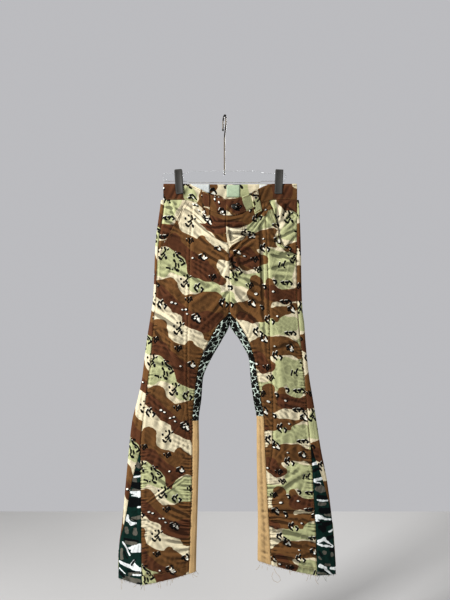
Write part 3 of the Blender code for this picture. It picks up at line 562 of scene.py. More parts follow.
    def place_across(self, leg: Leg, face: Face, at: Array, drop: Array) -> Array:
        """X at a share of the way round from the outer fold to the centre or inner fold.

        Args:
            leg: The leg.
            face: Front or back.
            at: Shares, 0 at the outer fold.
            drop: Drops.

        Returns:
            X of each place. Places lie closer together towards a fold.
        """
        bend = 1 - np.cos(at * math.pi / 2)
        share = bend + self.parted(drop) * bend * (1 - bend)
        outer = self.seam(leg, "outer", drop)
        return outer + (self.seam(leg, "inner", drop, face) - outer) * share

    def turn_at(self, leg: Leg, face: Face, drop: Array, x: Array) -> Array:
        """The turn at which a face of a leg crosses each X: place_across, backwards.

        Args:
            leg: The leg.
            face: Front or back.
            drop: Drops.
            x: X at each drop.

        Returns:
            Turns.
        """
        drop = np.asarray(drop, float)
        outer = self.seam(leg, "outer", drop)
        share = (x - outer) / (self.seam(leg, "inner", drop, face) - outer)
        share = np.clip(share, 0.0, 1.0)
        parted = self.parted(drop)
        root = np.sqrt(np.maximum(0.0, (1 + parted) ** 2 - 4 * parted * share))
        bend = 2 * share / (1 + parted + root)
        at = np.arccos(np.clip(1 - bend, -1.0, 1.0)) * 2 / math.pi
        return at if face is Face.FRONT else -at

    def section(self, leg: Leg, drop: Array, turn: Array, creased: bool = False) -> Array:
        """Points of the level section.

        Args:
            leg: The leg.
            drop: Drops.
            turn: Turns, in the same shape.
            creased: Whether the creases are in it.

        Returns:
            X, Y and 1 on the front or 0 on the back, along a new last axis.
        """
        turn = np.where(turn > 1, turn - 2, turn)
        drop = np.broadcast_to(drop, turn.shape)
        at = np.abs(turn)
        front = (turn >= 0)[..., None]
        both = []
        for face, sign in ((Face.FRONT, -1.0), (Face.BACK, 1.0)):
            x = self.place_across(leg, face, at, drop)
            stands = self.half_depth(leg, face, x, drop)
            if creased:
                from_inner = np.minimum(1.0, (1 - at) / self.fold_fade)
                fade = np.minimum(1.0, at / self.fold_fade)
                fade = fade * (1 - self.parted(drop) * (1 - from_inner))
                stands = stands + self.relief(leg, face, x, drop) * fade
            both.append(np.stack((x, DEPTH_CURVES["middle"](drop) + sign * stands), axis=-1))
        return np.concatenate((np.where(front, *both), front), axis=-1)

    def hem_fall(self, leg: Leg, x: Array, drop: Array) -> Array:
        """How much lower than its level the cloth hangs towards its hem.

        Args:
            leg: The leg.
            x: X of each point.
            drop: Drop of each point.

        Returns:
            The fall of each point.
        """
        levels = LEVELS[leg]
        inner = self.seam(leg, "inner", levels.hem)
        to_side = abs(self.seam(leg, "side", levels.hem) - inner)
        out = np.abs(x - inner)
        fall = levels.hem_slant * np.minimum(out, to_side)
        fall = fall + levels.godet_slant * np.maximum(0.0, out - to_side)
        return fall * ease(self.knee, levels.hem, drop)

    def surface(self, leg: Leg, drop: Array, turn: Array, lift: Array | float = 0.0) -> Array:
        """Points of the cloth's outside.

        Args:
            leg: The leg.
            drop: Drops.
            turn: Turns.
            lift: How far each point is moved out.

        Returns:
            X, Y and Z along a new last axis.
        """
        drop, turn = np.broadcast_arrays(np.asarray(drop, float), np.asarray(turn, float))
        x, y, front = np.moveaxis(self.section(leg, drop, turn, True), -1, 0)
        end = np.where(drop < self.crotch_under, 1.0, np.inf)
        before = self.section(leg, drop, np.maximum(turn - self.turn_step, -end))
        after = self.section(leg, drop, np.minimum(turn + self.turn_step, end))
        run, rise, _ = np.moveaxis(after - before, -1, 0)
        length = np.hypot(run, rise)
        x = x - leg.sign * lift * rise / length
        y = y + leg.sign * lift * run / length
        z = -drop - self.hem_fall(leg, x, drop) - front * self.sag(x, drop)
        return np.stack((x, y, z), axis=-1)

    def shifted(self, leg: Leg, drop: Array, turn: Array, distance: float) -> Array:
        """The turn at this distance further round the section.

        Args:
            leg: The leg.
            drop: Drops.
            turn: The turn at each drop.
            distance: How far to go round, back where it is negative.

        Returns:
            Turns.
        """
        step = 2 * self.turn_step
        over = (drop < self.crotch_under) & (turn + step > 1)
        low = np.where(over, turn - step, turn)
        way = self.section(leg, drop, low + step) - self.section(leg, drop, low)
        return turn + distance * step / np.hypot(way[..., 0], way[..., 1])

    def waist_surface(self, face: Face, x: Array, drop: Array, lift: Array | float = 0.0) -> Array:
        """Points of the cloth's outside at each X, whichever leg they belong to.

        Args:
            face: Front or back.
            x: X of each point.
            drop: Drop of each point.
            lift: How far each point is moved out.

        Returns:
            X, Y and Z along a new last axis.
        """
        x, drop = np.broadcast_arrays(np.asarray(x, float), np.asarray(drop, float))
        both = [self.surface(leg, drop, self.turn_at(leg, face, drop, x), lift) for leg in Leg]
        return np.where((x < self.centre(Leg.LEFT, drop, face))[..., None], *both)


# ------------------------------------------------------------------ printed cloth


@dataclass(frozen=True)
class Stroke:
    """A round-ended brush stroke in a print's repeat: its start and radius, then its end's."""

    u: float
    v: float
    radius: float
    end_u: float
    end_v: float
    end_radius: float

    def inside(self, du: Array, dv: Array) -> Array:
        """How far points lie inside.

        Args:
            du: Steps across the repeat from the start.
            dv: Steps down it.

        Returns:
            Distances, negative outside.
        """
        run, fall = self.end_u - self.u, self.end_v - self.v
        share = (du * run + dv * fall) / max(run * run + fall * fall, 1e-6)
        share = np.clip(share, 0.0, 1.0)
        radius = self.radius + (self.end_radius - self.radius) * share
        return radius - np.hypot(du - run * share, dv - fall * share)


@dataclass(frozen=True)
class Spot:
    """An oval in a print's repeat: its middle and half sizes."""

    u: float
    v: float
    ru: float
    rv: float

    def inside(self, du: Array, dv: Array) -> Array:
        """How far points lie inside, from their steps from the middle."""
        return (1 - np.hypot(du / self.ru, dv / self.rv)) * min(self.ru, self.rv)


Shapes = tuple[Stroke | Spot, ...]


def strokes(*chains: tuple[float, ...]) -> Shapes:
    """A stroke between neighbours in each chain of places across, down, and radii."""
    ends = (chain[i : i + 6] for chain in chains for i in range(0, len(chain) - 3, 3))
    return tuple(Stroke(*pair) for pair in ends)


def spots(*ovals: tuple[float, float, float, float]) -> Shapes:
    """An oval for each place across and down, and half sizes."""
    return tuple(Spot(*oval) for oval in ovals)


@dataclass(frozen=True)
class Motif:
    """A cluster of pebble marks about its middle: black strokes and pale ones."""

    black: Shapes
    pale: Shapes = ()


@dataclass(frozen=True)
class Chart:
    """One repeat of a print. Each layer is a few strokes or spots, with some that come once,
    and some places are cleared of its browns."""

    width: float
    height: float
    softness: float
    waver: float
    layers: dict[str, Shapes]
    clusters: dict[str, tuple[tuple[float, float], ...]] = field(default_factory=dict)
    once: dict[str, Shapes] = field(default_factory=dict)
    cleared: Shapes = ()
    cluster_reach: float = 36.0
    glint: tuple[float, float] = (0.8, 2.4)
    glint_narrowed: float = 0.4
    bold: float = 0.6

    def field(self, layer: str, u: Array, v: Array) -> Array:
        """How far each point lies inside a layer's shapes.

        Args:
            layer: The layer's name.
            u: Place across the repeat.
            v: Place down the repeat.

        Returns:
            Distances in millimetres, negative outside. Neighbouring shapes flow together.
        """
        total = np.zeros(np.broadcast(u, v).shape)
        across = u + self.waver * (np.sin(v / 11.0 + 0.8) + 0.6 * np.sin(v / 5.3 + u / 17.0))
        v = v + self.waver * (np.sin(u / 13.0 + 2.0) + 0.6 * np.sin(u / 6.1 - v / 19.0))
        u = across
        for shape in self.layers[layer]:
            inside = shape.inside(*self.wrapped(u - shape.u, v - shape.v))
            total += np.exp(np.clip(inside / self.softness, -60.0, 60.0))
        for shape in self.once.get(layer, ()):
            inside = shape.inside(u - shape.u, v - shape.v)
            total += np.exp(np.clip(inside / self.softness, -60.0, 60.0))
        found = self.softness * np.log(total + 1e-9)
        for shape in self.cleared if layer in ("brown", "dark") else ():
            found = np.minimum(found, -shape.inside(u - shape.u, v - shape.v))
        return found

    def marks(self, u: Array, v: Array) -> dict[str, Array]:
        """How far each point lies inside the clusters' black and pale marks.

        Args:
            u: Place across the repeat.
            v: Place down the repeat.

        Returns:
            Distances in millimetres, negative outside, for each tone. Some black marks
            have a pale glint above them.
        """
        black, pale = np.full(u.shape, -9.0), np.full(u.shape, -9.0)
        middles = [(MOTIFS[name], *at) for name, places in self.clusters.items() for at in places]
        for motif, middle_u, middle_v in middles:
            du, dv = self.wrapped(u - middle_u, v - middle_v)
            near = np.hypot(du, dv) < self.cluster_reach
            du, dv = du[near], dv[near]
            for found, shapes, (across, down), grown in (
                (black, motif.black, (0.0, 0.0), self.bold),
                (pale, motif.pale, (0.0, 0.0), self.bold),
                (pale, motif.black[::3], self.glint, -self.glint_narrowed),
            ):
                for shape in shapes:
                    inside = shape.inside(du - shape.u + across, dv - shape.v + down) + grown
                    found[near] = np.maximum(found[near], inside)
        return {"marks_black": black, "marks_pale": pale}

    def wrapped(self, du: Array, dv: Array) -> tuple[Array, Array]:
        """The same steps, taken the short way round the repeat."""
        du = du - self.width * np.round(du / self.width)
        return du, dv - self.height * np.round(dv / self.height)


@dataclass(frozen=True)
class Lay:
    """How a piece was cut from its print: where X 0 and drop 0 fall in the repeat, how far
    the print leans across with the drop, and whether it was cut with the print on its side.
    Between the two drops of gathers, sewing has taken up that much more of the print."""

    u: float = 0.0
    v: float = 0.0
    lean: float = 0.0
    sideways: bool = False
    gathers: tuple[float, float, float] = (0.0, 1.0, 0.0)

    def place(self, x: Array, drop: Array) -> tuple[Array, Array]:
        """Place in the repeat of each point of the cloth.

        Args:
            x: X of each point.
            drop: Drop of each point.

        Returns:
            Places across the repeat, and down it.
        """
        if self.sideways:
            return drop + self.u, x + self.v
        start, end, gathered = self.gathers
        down = drop + self.v + gathered * np.clip((drop - start) / (end - start), 0.0, 1.0)
        return x + self.u + self.lean * drop, down


# Clusters of pebble marks in the desert print, each about its own middle
MOTIFS = {
    "pebbles_large": Motif(
        strokes(
            (-4.4, -24.5, 1.9, -4.4, -23.6, 1.5), (3.2, -23.6, 2.3, 8, -22.1, 1.9),
            (-9.4, -20, 2.3, -8, -13.6, 1.9), (-0.9, -18.3, 2.7, 4.4, -11.2, 2.2),
            (4.4, -11.2, 2.3, 13.9, -6.5, 1.9), (-7.4, -3.5, 2.7, -4.4, 0.6, 2.2),
            (9.7, -2.4, 1.9, 13.9, 0.6, 1.5), (16.8, -4.7, 1.9, 19.2, -0.6, 1.5),
            (16.2, 10, 2.7, 23.6, 5.3, 2.2), (23.6, 5.3, 1.9, 21.2, 2.4, 1.5),
            (-1.5, 5.9, 2.3, -0.3, 14.1, 1.9), (5.6, 7.4, 1.9, 7.4, 11.8, 1.5),
            (7.4, 11.8, 1.9, 8.5, 17.1, 1.5), (-25.6, 17.1, 2.3, -16.8, 18.9, 1.9),
            (-16.8, 18.9, 1.7, -15.6, 23, 1.4), (-9.7, 21.5, 1.9, -9.1, 23, 1.5),
            (-2.9, 17.1, 1.7, -1.2, 20.6, 1.4), (3.8, 24.2, 3.5, 7.4, 25.9, 2.8),
        ),
    ),
    "pebbles_ring": Motif(
        strokes(
            (-13.9, -6.8, 2.3, -12.7, -4.4, 1.9), (-5.9, -15.6, 1.9, -4.7, -14.4, 1.5),
            (2.9, -16.8, 2.3, 5.6, -10.3, 1.9), (11.5, -10.6, 1.9, 13.9, -13, 1.5),
            (5.3, -7.4, 1.9, 1.2, -2.1, 1.5), (0, -0.9, 1.9, -2.1, 2.7, 1.5),
            (4.1, 1.5, 1.9, 5.6, 4.7, 1.5), (2.9, 6.2, 1.7, 0.3, 9.1, 1.4),
            (-5.3, 2.1, 1.7, -4.1, 4.4, 1.4), (-11.2, 8.3, 1.9, -8.8, 12.7, 1.5),
            (-8.3, 12.7, 2.7, -3.5, 15.9, 2.2), (-3.5, 15.9, 1.9, -1.2, 13, 1.5),
            (8.8, 10.3, 3.1, 10, 13.9, 2.5),
        ),
    ),
    "pebbles_hatch": Motif(
        strokes(
            (-9.7, -2.9, 1.9, -8, 0.9, 1.5), (-4.7, -7.1, 1.7, -2.7, -3.5, 1.4),
            (-0.9, -1.2, 1.9, -3.2, 3.5, 1.5), (2.7, -5.9, 1.7, 0.9, -0.9, 1.4),
            (5, 0.3, 1.7, 3.2, 4.7, 1.4), (7.4, -2.7, 1.7, 9.4, 0.9, 1.4), (-1.5, 5.9, 1.7, 0.6, 7.7, 1.4),
            (4.7, -8, 1.7, 7.1, -5.6, 1.4),
        ),
    ),
    "pebbles_pale": Motif(
        strokes(
            (-9.7, -2.1, 2.3, -3.5, -5.3, 1.9), (-5.9, 1.5, 2.3, -2.9, 6.5, 1.9),
            (1.8, -9.4, 2.3, 4.7, -7.1, 1.9), (6.5, -2.9, 1.9, 8.8, 0, 1.5),
            (-11.2, 3.5, 1.7, -8.8, 5.9, 1.4), (-0.6, 9.4, 1.9, 5.9, 11.8, 1.5),
        ),
        strokes((0.6, 2.9, 2.4, 5.9, 6.5, 1.9), (4.1, -2.9, 1.5, 2.9, 1.5, 1.2)),
    ),
    "pebbles_barred": Motif(
        strokes(
            (-5.6, -5.3, 1.9, -8.8, 3.2, 1.5), (-10.3, 5.9, 1.7, -9.4, 7.4, 1.4),
            (10, -9.7, 1.9, 5.6, -3.5, 1.5), (5.6, -3.5, 1.9, 3.5, 2.9, 1.5),
            (5.3, 7.4, 1.9, 6.8, 8.8, 1.5), (0, -1.2, 1.7, -1.2, 2.9, 1.4),
        ),
    ),
    "pebbles_curled": Motif(
        strokes(
            (-8.5, -8, 2.3, -11.8, -0.9, 1.9), (-11.8, -0.9, 2.3, -8.3, 5.9, 1.9),
            (-8.3, 5.9, 1.7, -5.9, 4.4, 1.4), (0.6, -10.9, 2.7, -3.5, -5.3, 2.2),
            (-3.5, -5.3, 1.9, 0, 0, 1.5), (7.1, -0.9, 2.3, 12.4, 3.8, 1.9),
            (12.4, 3.8, 2.3, 8.3, 10.9, 1.9), (-4.4, 8, 1.9, -2.9, 10.9, 1.5),
        ),
        strokes((8.3, 4.4, 1.8, 7.7, 8.8, 1.4), (-4.1, 0.3, 1.2, -5.3, 3.2, 0.9)),
    ),
    "pebbles_bold": Motif(
        strokes(
            (-14.4, -0.9, 2.3, -8.3, -3.2, 1.9), (-8.3, -3.2, 2.3, -10.3, 2.7, 1.9, -4.1, 4.7, 1.5),
            (-1.8, -2.1, 2.7, 5, -2.7, 2.2), (5, -2.7, 2.3, 1.5, 3.8, 1.9),
            (8.8, -4.7, 2.3, 14.1, -0.3, 1.9), (12.4, 5, 1.9, 15.9, 1.8, 1.5),
        ),
    ),
    "pebble_hooked": Motif(
        strokes(
            (-3.5, -5, 2.3, 2.1, -3.8, 1.9), (2.1, -3.8, 2.7, 3.5, 0.9, 2.2), (3.5, 0.9, 2.3, 0, 5, 1.9),
        ),
        strokes((-1.2, 0, 1.5, 0, 2.1, 1.2)),
    ),
}
# Desert camouflage: wide brown bands with red-brown lower edges on beige and pale green,
# with clusters of pebble marks and a few single pebbles
DESERT_CHART = Chart(
    width=420,
    height=300,
    softness=3.0,
    waver=1.6,
    layers={
        "brown": strokes(
            (7, 76, 17, 29, 70, 22),
            (30, 22, 22, 31, 62, 25, 62, 87, 22, 94, 104, 31, 126, 115, 34, 146, 148, 25),
            (121, 70, 11, 127, 98, 25), (134, 115, 34, 173, 115, 20, 197, 126, 14),
            (133, 154, 31, 160, 177, 20, 190, 196, 11), (155, 23, 17, 172, 45, 17, 187, 59, 8),
            (27, 216, 14, 40, 208, 20, 51, 230, 22, 79, 258, 22, 100, 269, 25), (16, 216, 22, 41, 210, 22),
            (116, 266, 34, 151, 272, 45, 172, 266, 36, 200, 294, 20), (126, 6, 20, 174, 8, 20),
            (228, 115, 11, 246, 98, 20, 270, 87, 25, 305, 79, 22),
            (283, 64, 17, 313, 78, 25, 347, 76, 25, 368, 81, 17, 383, 101, 14),
            (274, 95, 20, 277, 123, 22, 298, 134, 14),
            (321, 202, 11, 323, 232, 22, 359, 238, 17, 402, 232, 17),
            (285, 196, 17, 281, 235, 22, 301, 252, 20), (221, 275, 17, 260, 278, 25, 294, 272, 20),
            (263, 297, 14, 291, 294, 14, 337, 283, 13, 386, 269, 11), (331, 286, 11, 330, 305, 7),
        ),
        "dark": strokes(
            (16, 81, 20, 39, 81, 17, 67, 109, 14, 100, 134, 17, 127, 154, 20),
            (114, 160, 25, 149, 177, 20, 185, 196, 11),
            (17, 224, 17, 38, 238, 14, 69, 269, 14, 99, 286, 14), (112, 3, 20, 155, 11, 28, 190, 0, 17),
            (267, 106, 17, 281, 134, 17, 298, 137, 11), (326, 232, 22, 359, 241, 17, 404, 235, 17),
            (230, 294, 11, 262, 303, 11),
        ),
        "green": strokes(
            (23, 168, 17, 41, 134, 31, 76, 146, 34, 113, 176, 22),
            (118, 202, 25, 150, 213, 17, 176, 219, 14), (204, 244, 20, 209, 266, 14),
            (5, 166, 17, 26, 149, 17), (132, 196, 17, 149, 202, 11),
            (309, 185, 17, 339, 140, 31, 372, 146, 28, 361, 196, 25),
            (304, 25, 25, 339, 19, 25, 373, 14, 20), (392, 70, 14, 394, 123, 14),
            (230, 191, 20, 269, 199, 20, 298, 185, 14), (322, 26, 14, 341, 9, 17),
        ),
        "dots": spots(
            (100, 132, 5.3, 3.9), (139, 132, 5.9, 4.3), (57, 255, 5.7, 4.1), (87, 277, 4.6, 3.4),
            (98, 274, 4.6, 3.4), (102, 286, 5, 3.6), (128, 0, 5.3, 3.9), (68, 261, 5, 3.6),
            (260, 126, 5.9, 4.3), (329, 228, 5.9, 4.3), (281, 230, 6.6, 4.8), (332, 294, 5.3, 3.9),
            (318, 78, 5, 3.6), (362, 87, 5.9, 4.3), (284, 59, 5.3, 3.9),
        ),
    },
    clusters={
        "pebbles_large": ((58, 142), (225, 168)),
        "pebbles_ring": ((89, 197), (84, 28), (18, 120), (398, 130)),
        "pebbles_hatch": (
            (104, 249), (90, 84), (164, 187), (289, 137), (267, 210), (295, 166), (22, 60),
        ),
        "pebbles_pale": (
            (130, 128), (170, 96), (134, 2), (128, 296), (290, 56), (360, 82), (376, 274), (268, 258),
            (244, 110),
        ),
        "pebbles_curled": ((128, 216), (202, 258), (310, 5), (274, 38), (320, 104), (30, 262)),
        "pebbles_bold": ((1, 207), (370, 202), (364, 42), (362, 255)),
        "pebbles_barred": ((363, 151),),
        "pebble_hooked": ((338, 200), (213, 216), (294, 272), (307, 214)),
    },
    once={
        "brown": strokes((225, -171, 14, 263, -156, 22, 312, -161, 13)),
        # The second dark stroke is painted shade: dark print laid at the foot of the fly, where its
        # opening casts a shadow
        "dark": strokes((244, -161, 9, 283, -151, 14), (220, -178, 7, 233, -142, 9)),
        "green": spots((374, -219, 19, 24), (144, 478, 27, 28))
        + strokes((50, 744, 12, 104, 750, 7)),
    },
    cleared=spots((374, -221, 23, 29), (144, 479, 31, 34), (340, 266, 50, 15))
    + strokes((41, -303, 30, 105, -303, 26), (48, 744, 14, 108, 750, 9)),
)

# Woodland camouflage: taupe, white and black streaks on deep green
WOODLAND_CHART = Chart(
    width=160,
    height=360,
    softness=1.0,
    waver=0.9,
    layers={
        "taupe": strokes(
            (49, 18, 7.8, 60, 27, 7.1), (46, 63, 6.4, 49, 71, 5), (43, 92, 4.2, 61, 94, 5),
            (40, 170, 5, 61, 166, 5), (24, 197, 5, 26, 207, 5.7), (49, 197, 4.2, 49, 209, 7.1),
            (24, 235, 5, 49, 238, 5.7), (9, 257, 3.5, 12, 281, 5), (20, 334, 7.1, 58, 341, 7.8),
            (32, 322, 4.2, 58, 318, 3.5), (102, 83, 7.8, 114, 91, 7.1), (94, 89, 5.7, 105, 95, 5),
            (100, 130, 5, 117, 130, 4.2), (117, 158, 4.2, 132, 161, 5), (111, 260, 4.2, 116, 263, 5),
            (136, 269, 4.2, 137, 273, 5), (100, 275, 2.8, 105, 281, 2.8), (117, 295, 3.5, 129, 298, 3.5),
            (97, 317, 3.5, 117, 323, 2.8),
        ),
        "white": strokes(
            (45, 55, 2.1, 62, 54, 2.8), (37, 99, 3.5, 60, 101, 7.8), (38, 107, 1.8, 58, 107, 4.2),
            (55, 139, 2.1, 62, 138, 3.2), (28, 163, 3.5, 26, 175, 4.2, 37, 184, 5, 49, 181, 2.8),
            (14, 237, 2.5, 34, 269, 2.5), (32, 250, 3.5, 62, 245, 7.8), (40, 258, 4.2, 62, 255, 7.1),
            (5, 291, 3.5, 29, 300, 5, 62, 309, 6.4), (47, 284, 3.2, 38, 298, 4.2),
            (49, 294, 3.5, 55, 303, 4.2), (43, 323, 2.1, 64, 323, 2.8), (5, 310, 1.8, 20, 322, 1.4),
            (82, 22, 3.5, 100, 18, 5), (88, 64, 3.5, 108, 61, 4.2), (88, 69, 1.8, 105, 74, 2.5),
            (95, 119, 2.8, 123, 122, 2.5), (92, 166, 7.1, 105, 166, 5), (105, 167, 4.2, 132, 174, 2.1),
            (92, 175, 2.5, 100, 178, 1.4), (128, 207, 2.1, 138, 204, 2.8), (98, 231, 4.2, 113, 225, 5),
            (113, 225, 3.5, 135, 248, 3.5), (95, 239, 2.8, 117, 245, 2.8, 136, 250, 1.8),
            (101, 298, 5, 117, 305, 4.2), (117, 310, 3.5, 135, 326, 2.1), (132, 307, 3.5, 148, 313, 4.2),
        ),
        "black": strokes(
            (43, 43, 4.2, 62, 45, 5.7), (42, 77, 7.8, 61, 80, 9.9), (34, 119, 7.8, 61, 125, 10.6),
            (33, 133, 5.7, 49, 130, 7.8), (35, 168, 1.4, 48, 174, 1.8), (20, 226, 3.5, 58, 231, 2.8),
            (17, 263, 2.8, 27, 278, 2.1), (40, 296, 2.8, 45, 288, 2.5, 51, 280, 1.8),
            (5, 322, 5, 17, 331, 3.5), (26, 314, 2.1, 61, 314, 1.8), (58, 346, 4.2, 62, 347, 4.2),
            (79, -14, 5, 85, 1, 5), (85, 39, 4.2, 102, 33, 2.8), (92, 77, 4.2, 102, 77, 3.5),
            (97, 110, 5.7, 120, 113, 5), (108, 148, 9.2, 129, 150, 7.8), (95, 181, 3.5, 105, 180, 2.8),
            (114, 186, 7.1, 132, 183, 5), (100, 192, 5, 114, 201, 7.1), (126, 225, 6.4, 138, 220, 5),
            (118, 237, 1.8, 132, 246, 1.8), (132, 257, 5, 144, 263, 4.2), (97, 260, 2.8, 108, 272, 2.8),
            (110, 311, 2.5, 132, 328, 1.8), (98, 307, 2.1, 105, 313, 2.8),
        ),
    },
)

# ------------------------------------------------------------------ finishes

CLOTH_UV = "cut"
Socket = bpy.types.NodeSocket


def colour(code: str) -> tuple[float, float, float, float]:
    """Linear colour, with full alpha, of an sRGB hex code.

    Args:
        code: Six hex digits.

    Returns:
        Red, green, blue and alpha.
    """
    shares = [int(code[i : i + 2], 16) / 255 for i in (0, 2, 4)]
    linear = [s / 12.92 if s <= 0.04045 else ((s + 0.055) / 1.055) ** 2.4 for s in shares]
    return (*linear, 1.0)


def add_node(
    tree: bpy.types.NodeTree, kind: str, inputs: dict, output: int | str = 0, **settings: object
) -> Socket | None:
    """Add a node to a tree, with its settings and links.

    Args:
        tree: The tree of a material or of the world.
        kind: The node's type, without its ShaderNode prefix.
        inputs: A number, colour or another node's output for each named or numbered socket.
        output: The output that is wanted.
        settings: The node's own properties.

    Returns:
        That output, where the node has any.
    """
    made = tree.nodes.new("ShaderNode" + kind)
    for name, value in settings.items():
        setattr(made, name, value)
    for name, value in inputs.items():
        if isinstance(value, Socket):
            tree.links.new(value, made.inputs[name])
        else:
            made.inputs[name].default_value = value
    return made.outputs[output] if len(made.outputs) else None


@dataclass(frozen=True)
class Finish:
    """A material, made once and shared by its pieces."""

    name: str

    def material(self) -> bpy.types.Material:
        """Make the finish's material when it is first asked for.

        Returns:
            The material.
        """
        if self.name in bpy.data.materials:
            return bpy.data.materials[self.name]
        made = bpy.data.materials.new(self.name)
        made.use_nodes = True
        made.node_tree.nodes.clear()
        add_node(made.node_tree, "OutputMaterial", {"Surface": self.build(made.node_tree)})
        return made

    def build(self, tree: bpy.types.NodeTree) -> Socket:
        """Add the finish's nodes to the tree and return its shader."""
        raise NotImplementedError


@dataclass(frozen=True)
class Layer:
    """One colour of a print where its field is above 0: how soft its edge is, and whether
    the cloth's ribs make it ragged."""

    field: str
    tone: str
    edge: float = 0.8
    ragged: bool = True


@dataclass(frozen=True)
class Cotton(Finish):
    """Woven cotton: a ground of two colours, a print over it, a weave, wear, and painted shade
    in its creases' troughs. Its weave is the distance between two ribs, coarser than real
    ones so that it shows."""

    ground: str
    ground_other: str
    chart: Chart | None = None
    layers: tuple[Layer, ...] = ()
    ragged: float = 4.0
    weave: float = 1.1

    def build(self, tree: bpy.types.NodeTree) -> Socket:
        """Add the cloth's nodes: its print, then wear and painted crease shade, then a dull shader with
        ribs.

        Args:
            tree: The material's tree.

        Returns:
            The shader.
        """
        node = partial(add_node, tree)
        metres = node("UVMap", {}, uv_map=CLOTH_UV)
        mm = node("VectorMath", {0: metres, "Scale": 1000.0}, operation="SCALE")
        tone = self.worn_and_crease_shaded(tree, mm, self.printed(tree, mm))
        wave = {"Vector": mm, "Scale": 0.314 / self.weave, "Distortion": 1.0, "Detail": 1.0}
        ribs = node("TexWave", wave, "Fac", wave_type="BANDS", bands_direction="DIAGONAL")
        slubs = node("TexNoise", {"Vector": mm, "Scale": 0.5, "Detail": 3.0})
        height = node("Math", {0: ribs, 1: 0.35, 2: slubs}, operation="MULTIPLY_ADD")
        cloth = {
            "Base Color": tone,
            "Roughness": node("MapRange", {"Value": slubs, "To Min": 0.82, "To Max": 1.0}),
            "Normal": node("Bump", {"Height": height, "Strength": 0.35, "Distance": 0.0006}),
            "Sheen Weight": 0.03,
            "Sheen Roughness": 0.6,
            "Specular IOR Level": 0.12,
        }
        return node("BsdfPrincipled", cloth)

    def printed(self, tree: bpy.types.NodeTree, mm: Socket) -> Socket:
        """The ground, and the chart's layers over it.

        Args:
            tree: The material's tree.
            mm: Places on the cut cloth.

        Returns:
            The colour.
        """
        node = partial(add_node, tree)
        tone = node("TexNoise", {"Vector": mm, "Scale": 0.016, "Detail": 2.0})
        both = {6: colour(self.ground), 7: colour(self.ground_other)}
        tone = node("Mix", {0: tone, **both}, 2, data_type="RGBA")
        ragged = node("TexNoise", {"Vector": mm, "Scale": 0.11, "Detail": 3.0, "Roughness": 0.6})
        ragged = {0: ragged, 1: self.ragged, 2: -self.ragged / 2}
        ragged = node("Math", ragged, operation="MULTIPLY_ADD")
        for layer in self.layers:
            inside = node("Attribute", {}, "Fac", attribute_name=layer.field)
            if layer.ragged:
                inside = node("Math", {0: inside, 1: ragged}, operation="ADD")
            inside = {"Value": inside, "From Min": -layer.edge, "From Max": layer.edge}
            blend = "SMOOTHSTEP" if layer.ragged else "LINEAR"
            inside = node("MapRange", inside, interpolation_type=blend)
            tone = node("Mix", {0: inside, 6: tone, 7: colour(layer.tone)}, 2, data_type="RGBA")
        return tone

    @staticmethod
    def worn_and_crease_shaded(tree: bpy.types.NodeTree, mm: Socket, tone: Socket) -> Socket:
        """Darken a colour in each crease's trough as painted shade, fade it along each ridge, and vary it
        in soft patches and thread by thread.

        Args:
            tree: The material's tree.
            mm: Places on the cut cloth.
            tone: The colour.

        Returns:
            The worn colour.
        """
        node = partial(add_node, tree)
        raised = node("Attribute", {}, "Fac", attribute_name="raised")
        patches = node("TexNoise", {"Vector": mm, "Scale": 0.03, "Detail": 3.0})
        threads = node("TexNoise", {"Vector": mm, "Scale": 0.55, "Detail": 3.0})
        for value_and_range in (
            # painted shade: a crease's trough (raised -0.8) darkens the colour to 0.42, and a ridge (0.6)
            # fades it to 1.2 as wear
            (raised, -0.8, 0.6, 0.42, 1.2),
            (patches, 0.3, 0.7, 0.9, 1.1),
            (threads, 0.3, 0.7, 0.86, 1.14),
        ):
            share = node("MapRange", dict(enumerate(value_and_range)))
            tone = node("VectorMath", {0: tone, "Scale": share}, operation="SCALE")
        return tone


@dataclass(frozen=True)
class Leopard(Cotton):
    """Printed cotton: close-set black blots, some with grey middles, on pale mint."""

    black: str = "0E0C0A"
    middle: str = "4A524A"

    def printed(self, tree: bpy.types.NodeTree, mm: Socket) -> Socket:
        """The ground and its blots, which are bent cells of uneven size.

        Args:
            tree: The material's tree.
            mm: Places on the cut cloth.

        Returns:
            The colour.
        """
        node = partial(add_node, tree)
        bend = node("TexNoise", {"Vector": mm, "Scale": 0.13, "Detail": 2.5})
        bent = {0: bend.node.outputs["Color"], 1: (16.0, 16.0, 0.0), 2: mm}
        bent = node("VectorMath", bent, operation="MULTIPLY_ADD")
        cell = {"Vector": bent, "Scale": 0.072, "Randomness": 0.95}
        edges = {"voronoi_dimensions": "2D", "feature": "DISTANCE_TO_EDGE"}
        cell = node("TexVoronoi", cell, "Distance", **edges)
        gap = node("TexNoise", {"Vector": mm, "Scale": 0.045, "Detail": 1.0})
        gap = node("MapRange", dict(enumerate((gap, 0.3, 0.7, -0.03, 0.13))))
        both = {6: colour(self.ground), 7: colour(self.ground_other)}
        tone = node("Mix", {0: bend, **both}, 2, data_type="RGBA")
        for level, code in ((gap, self.black), (0.5, self.middle)):
            share = node("Math", {0: cell, 1: level}, operation="SUBTRACT")
            share = node("MapRange", {"Value": share, "From Min": -0.02, "From Max": 0.02})
            tone = node("Mix", {0: share, 6: tone, 7: colour(code)}, 2, data_type="RGBA")
        return tone


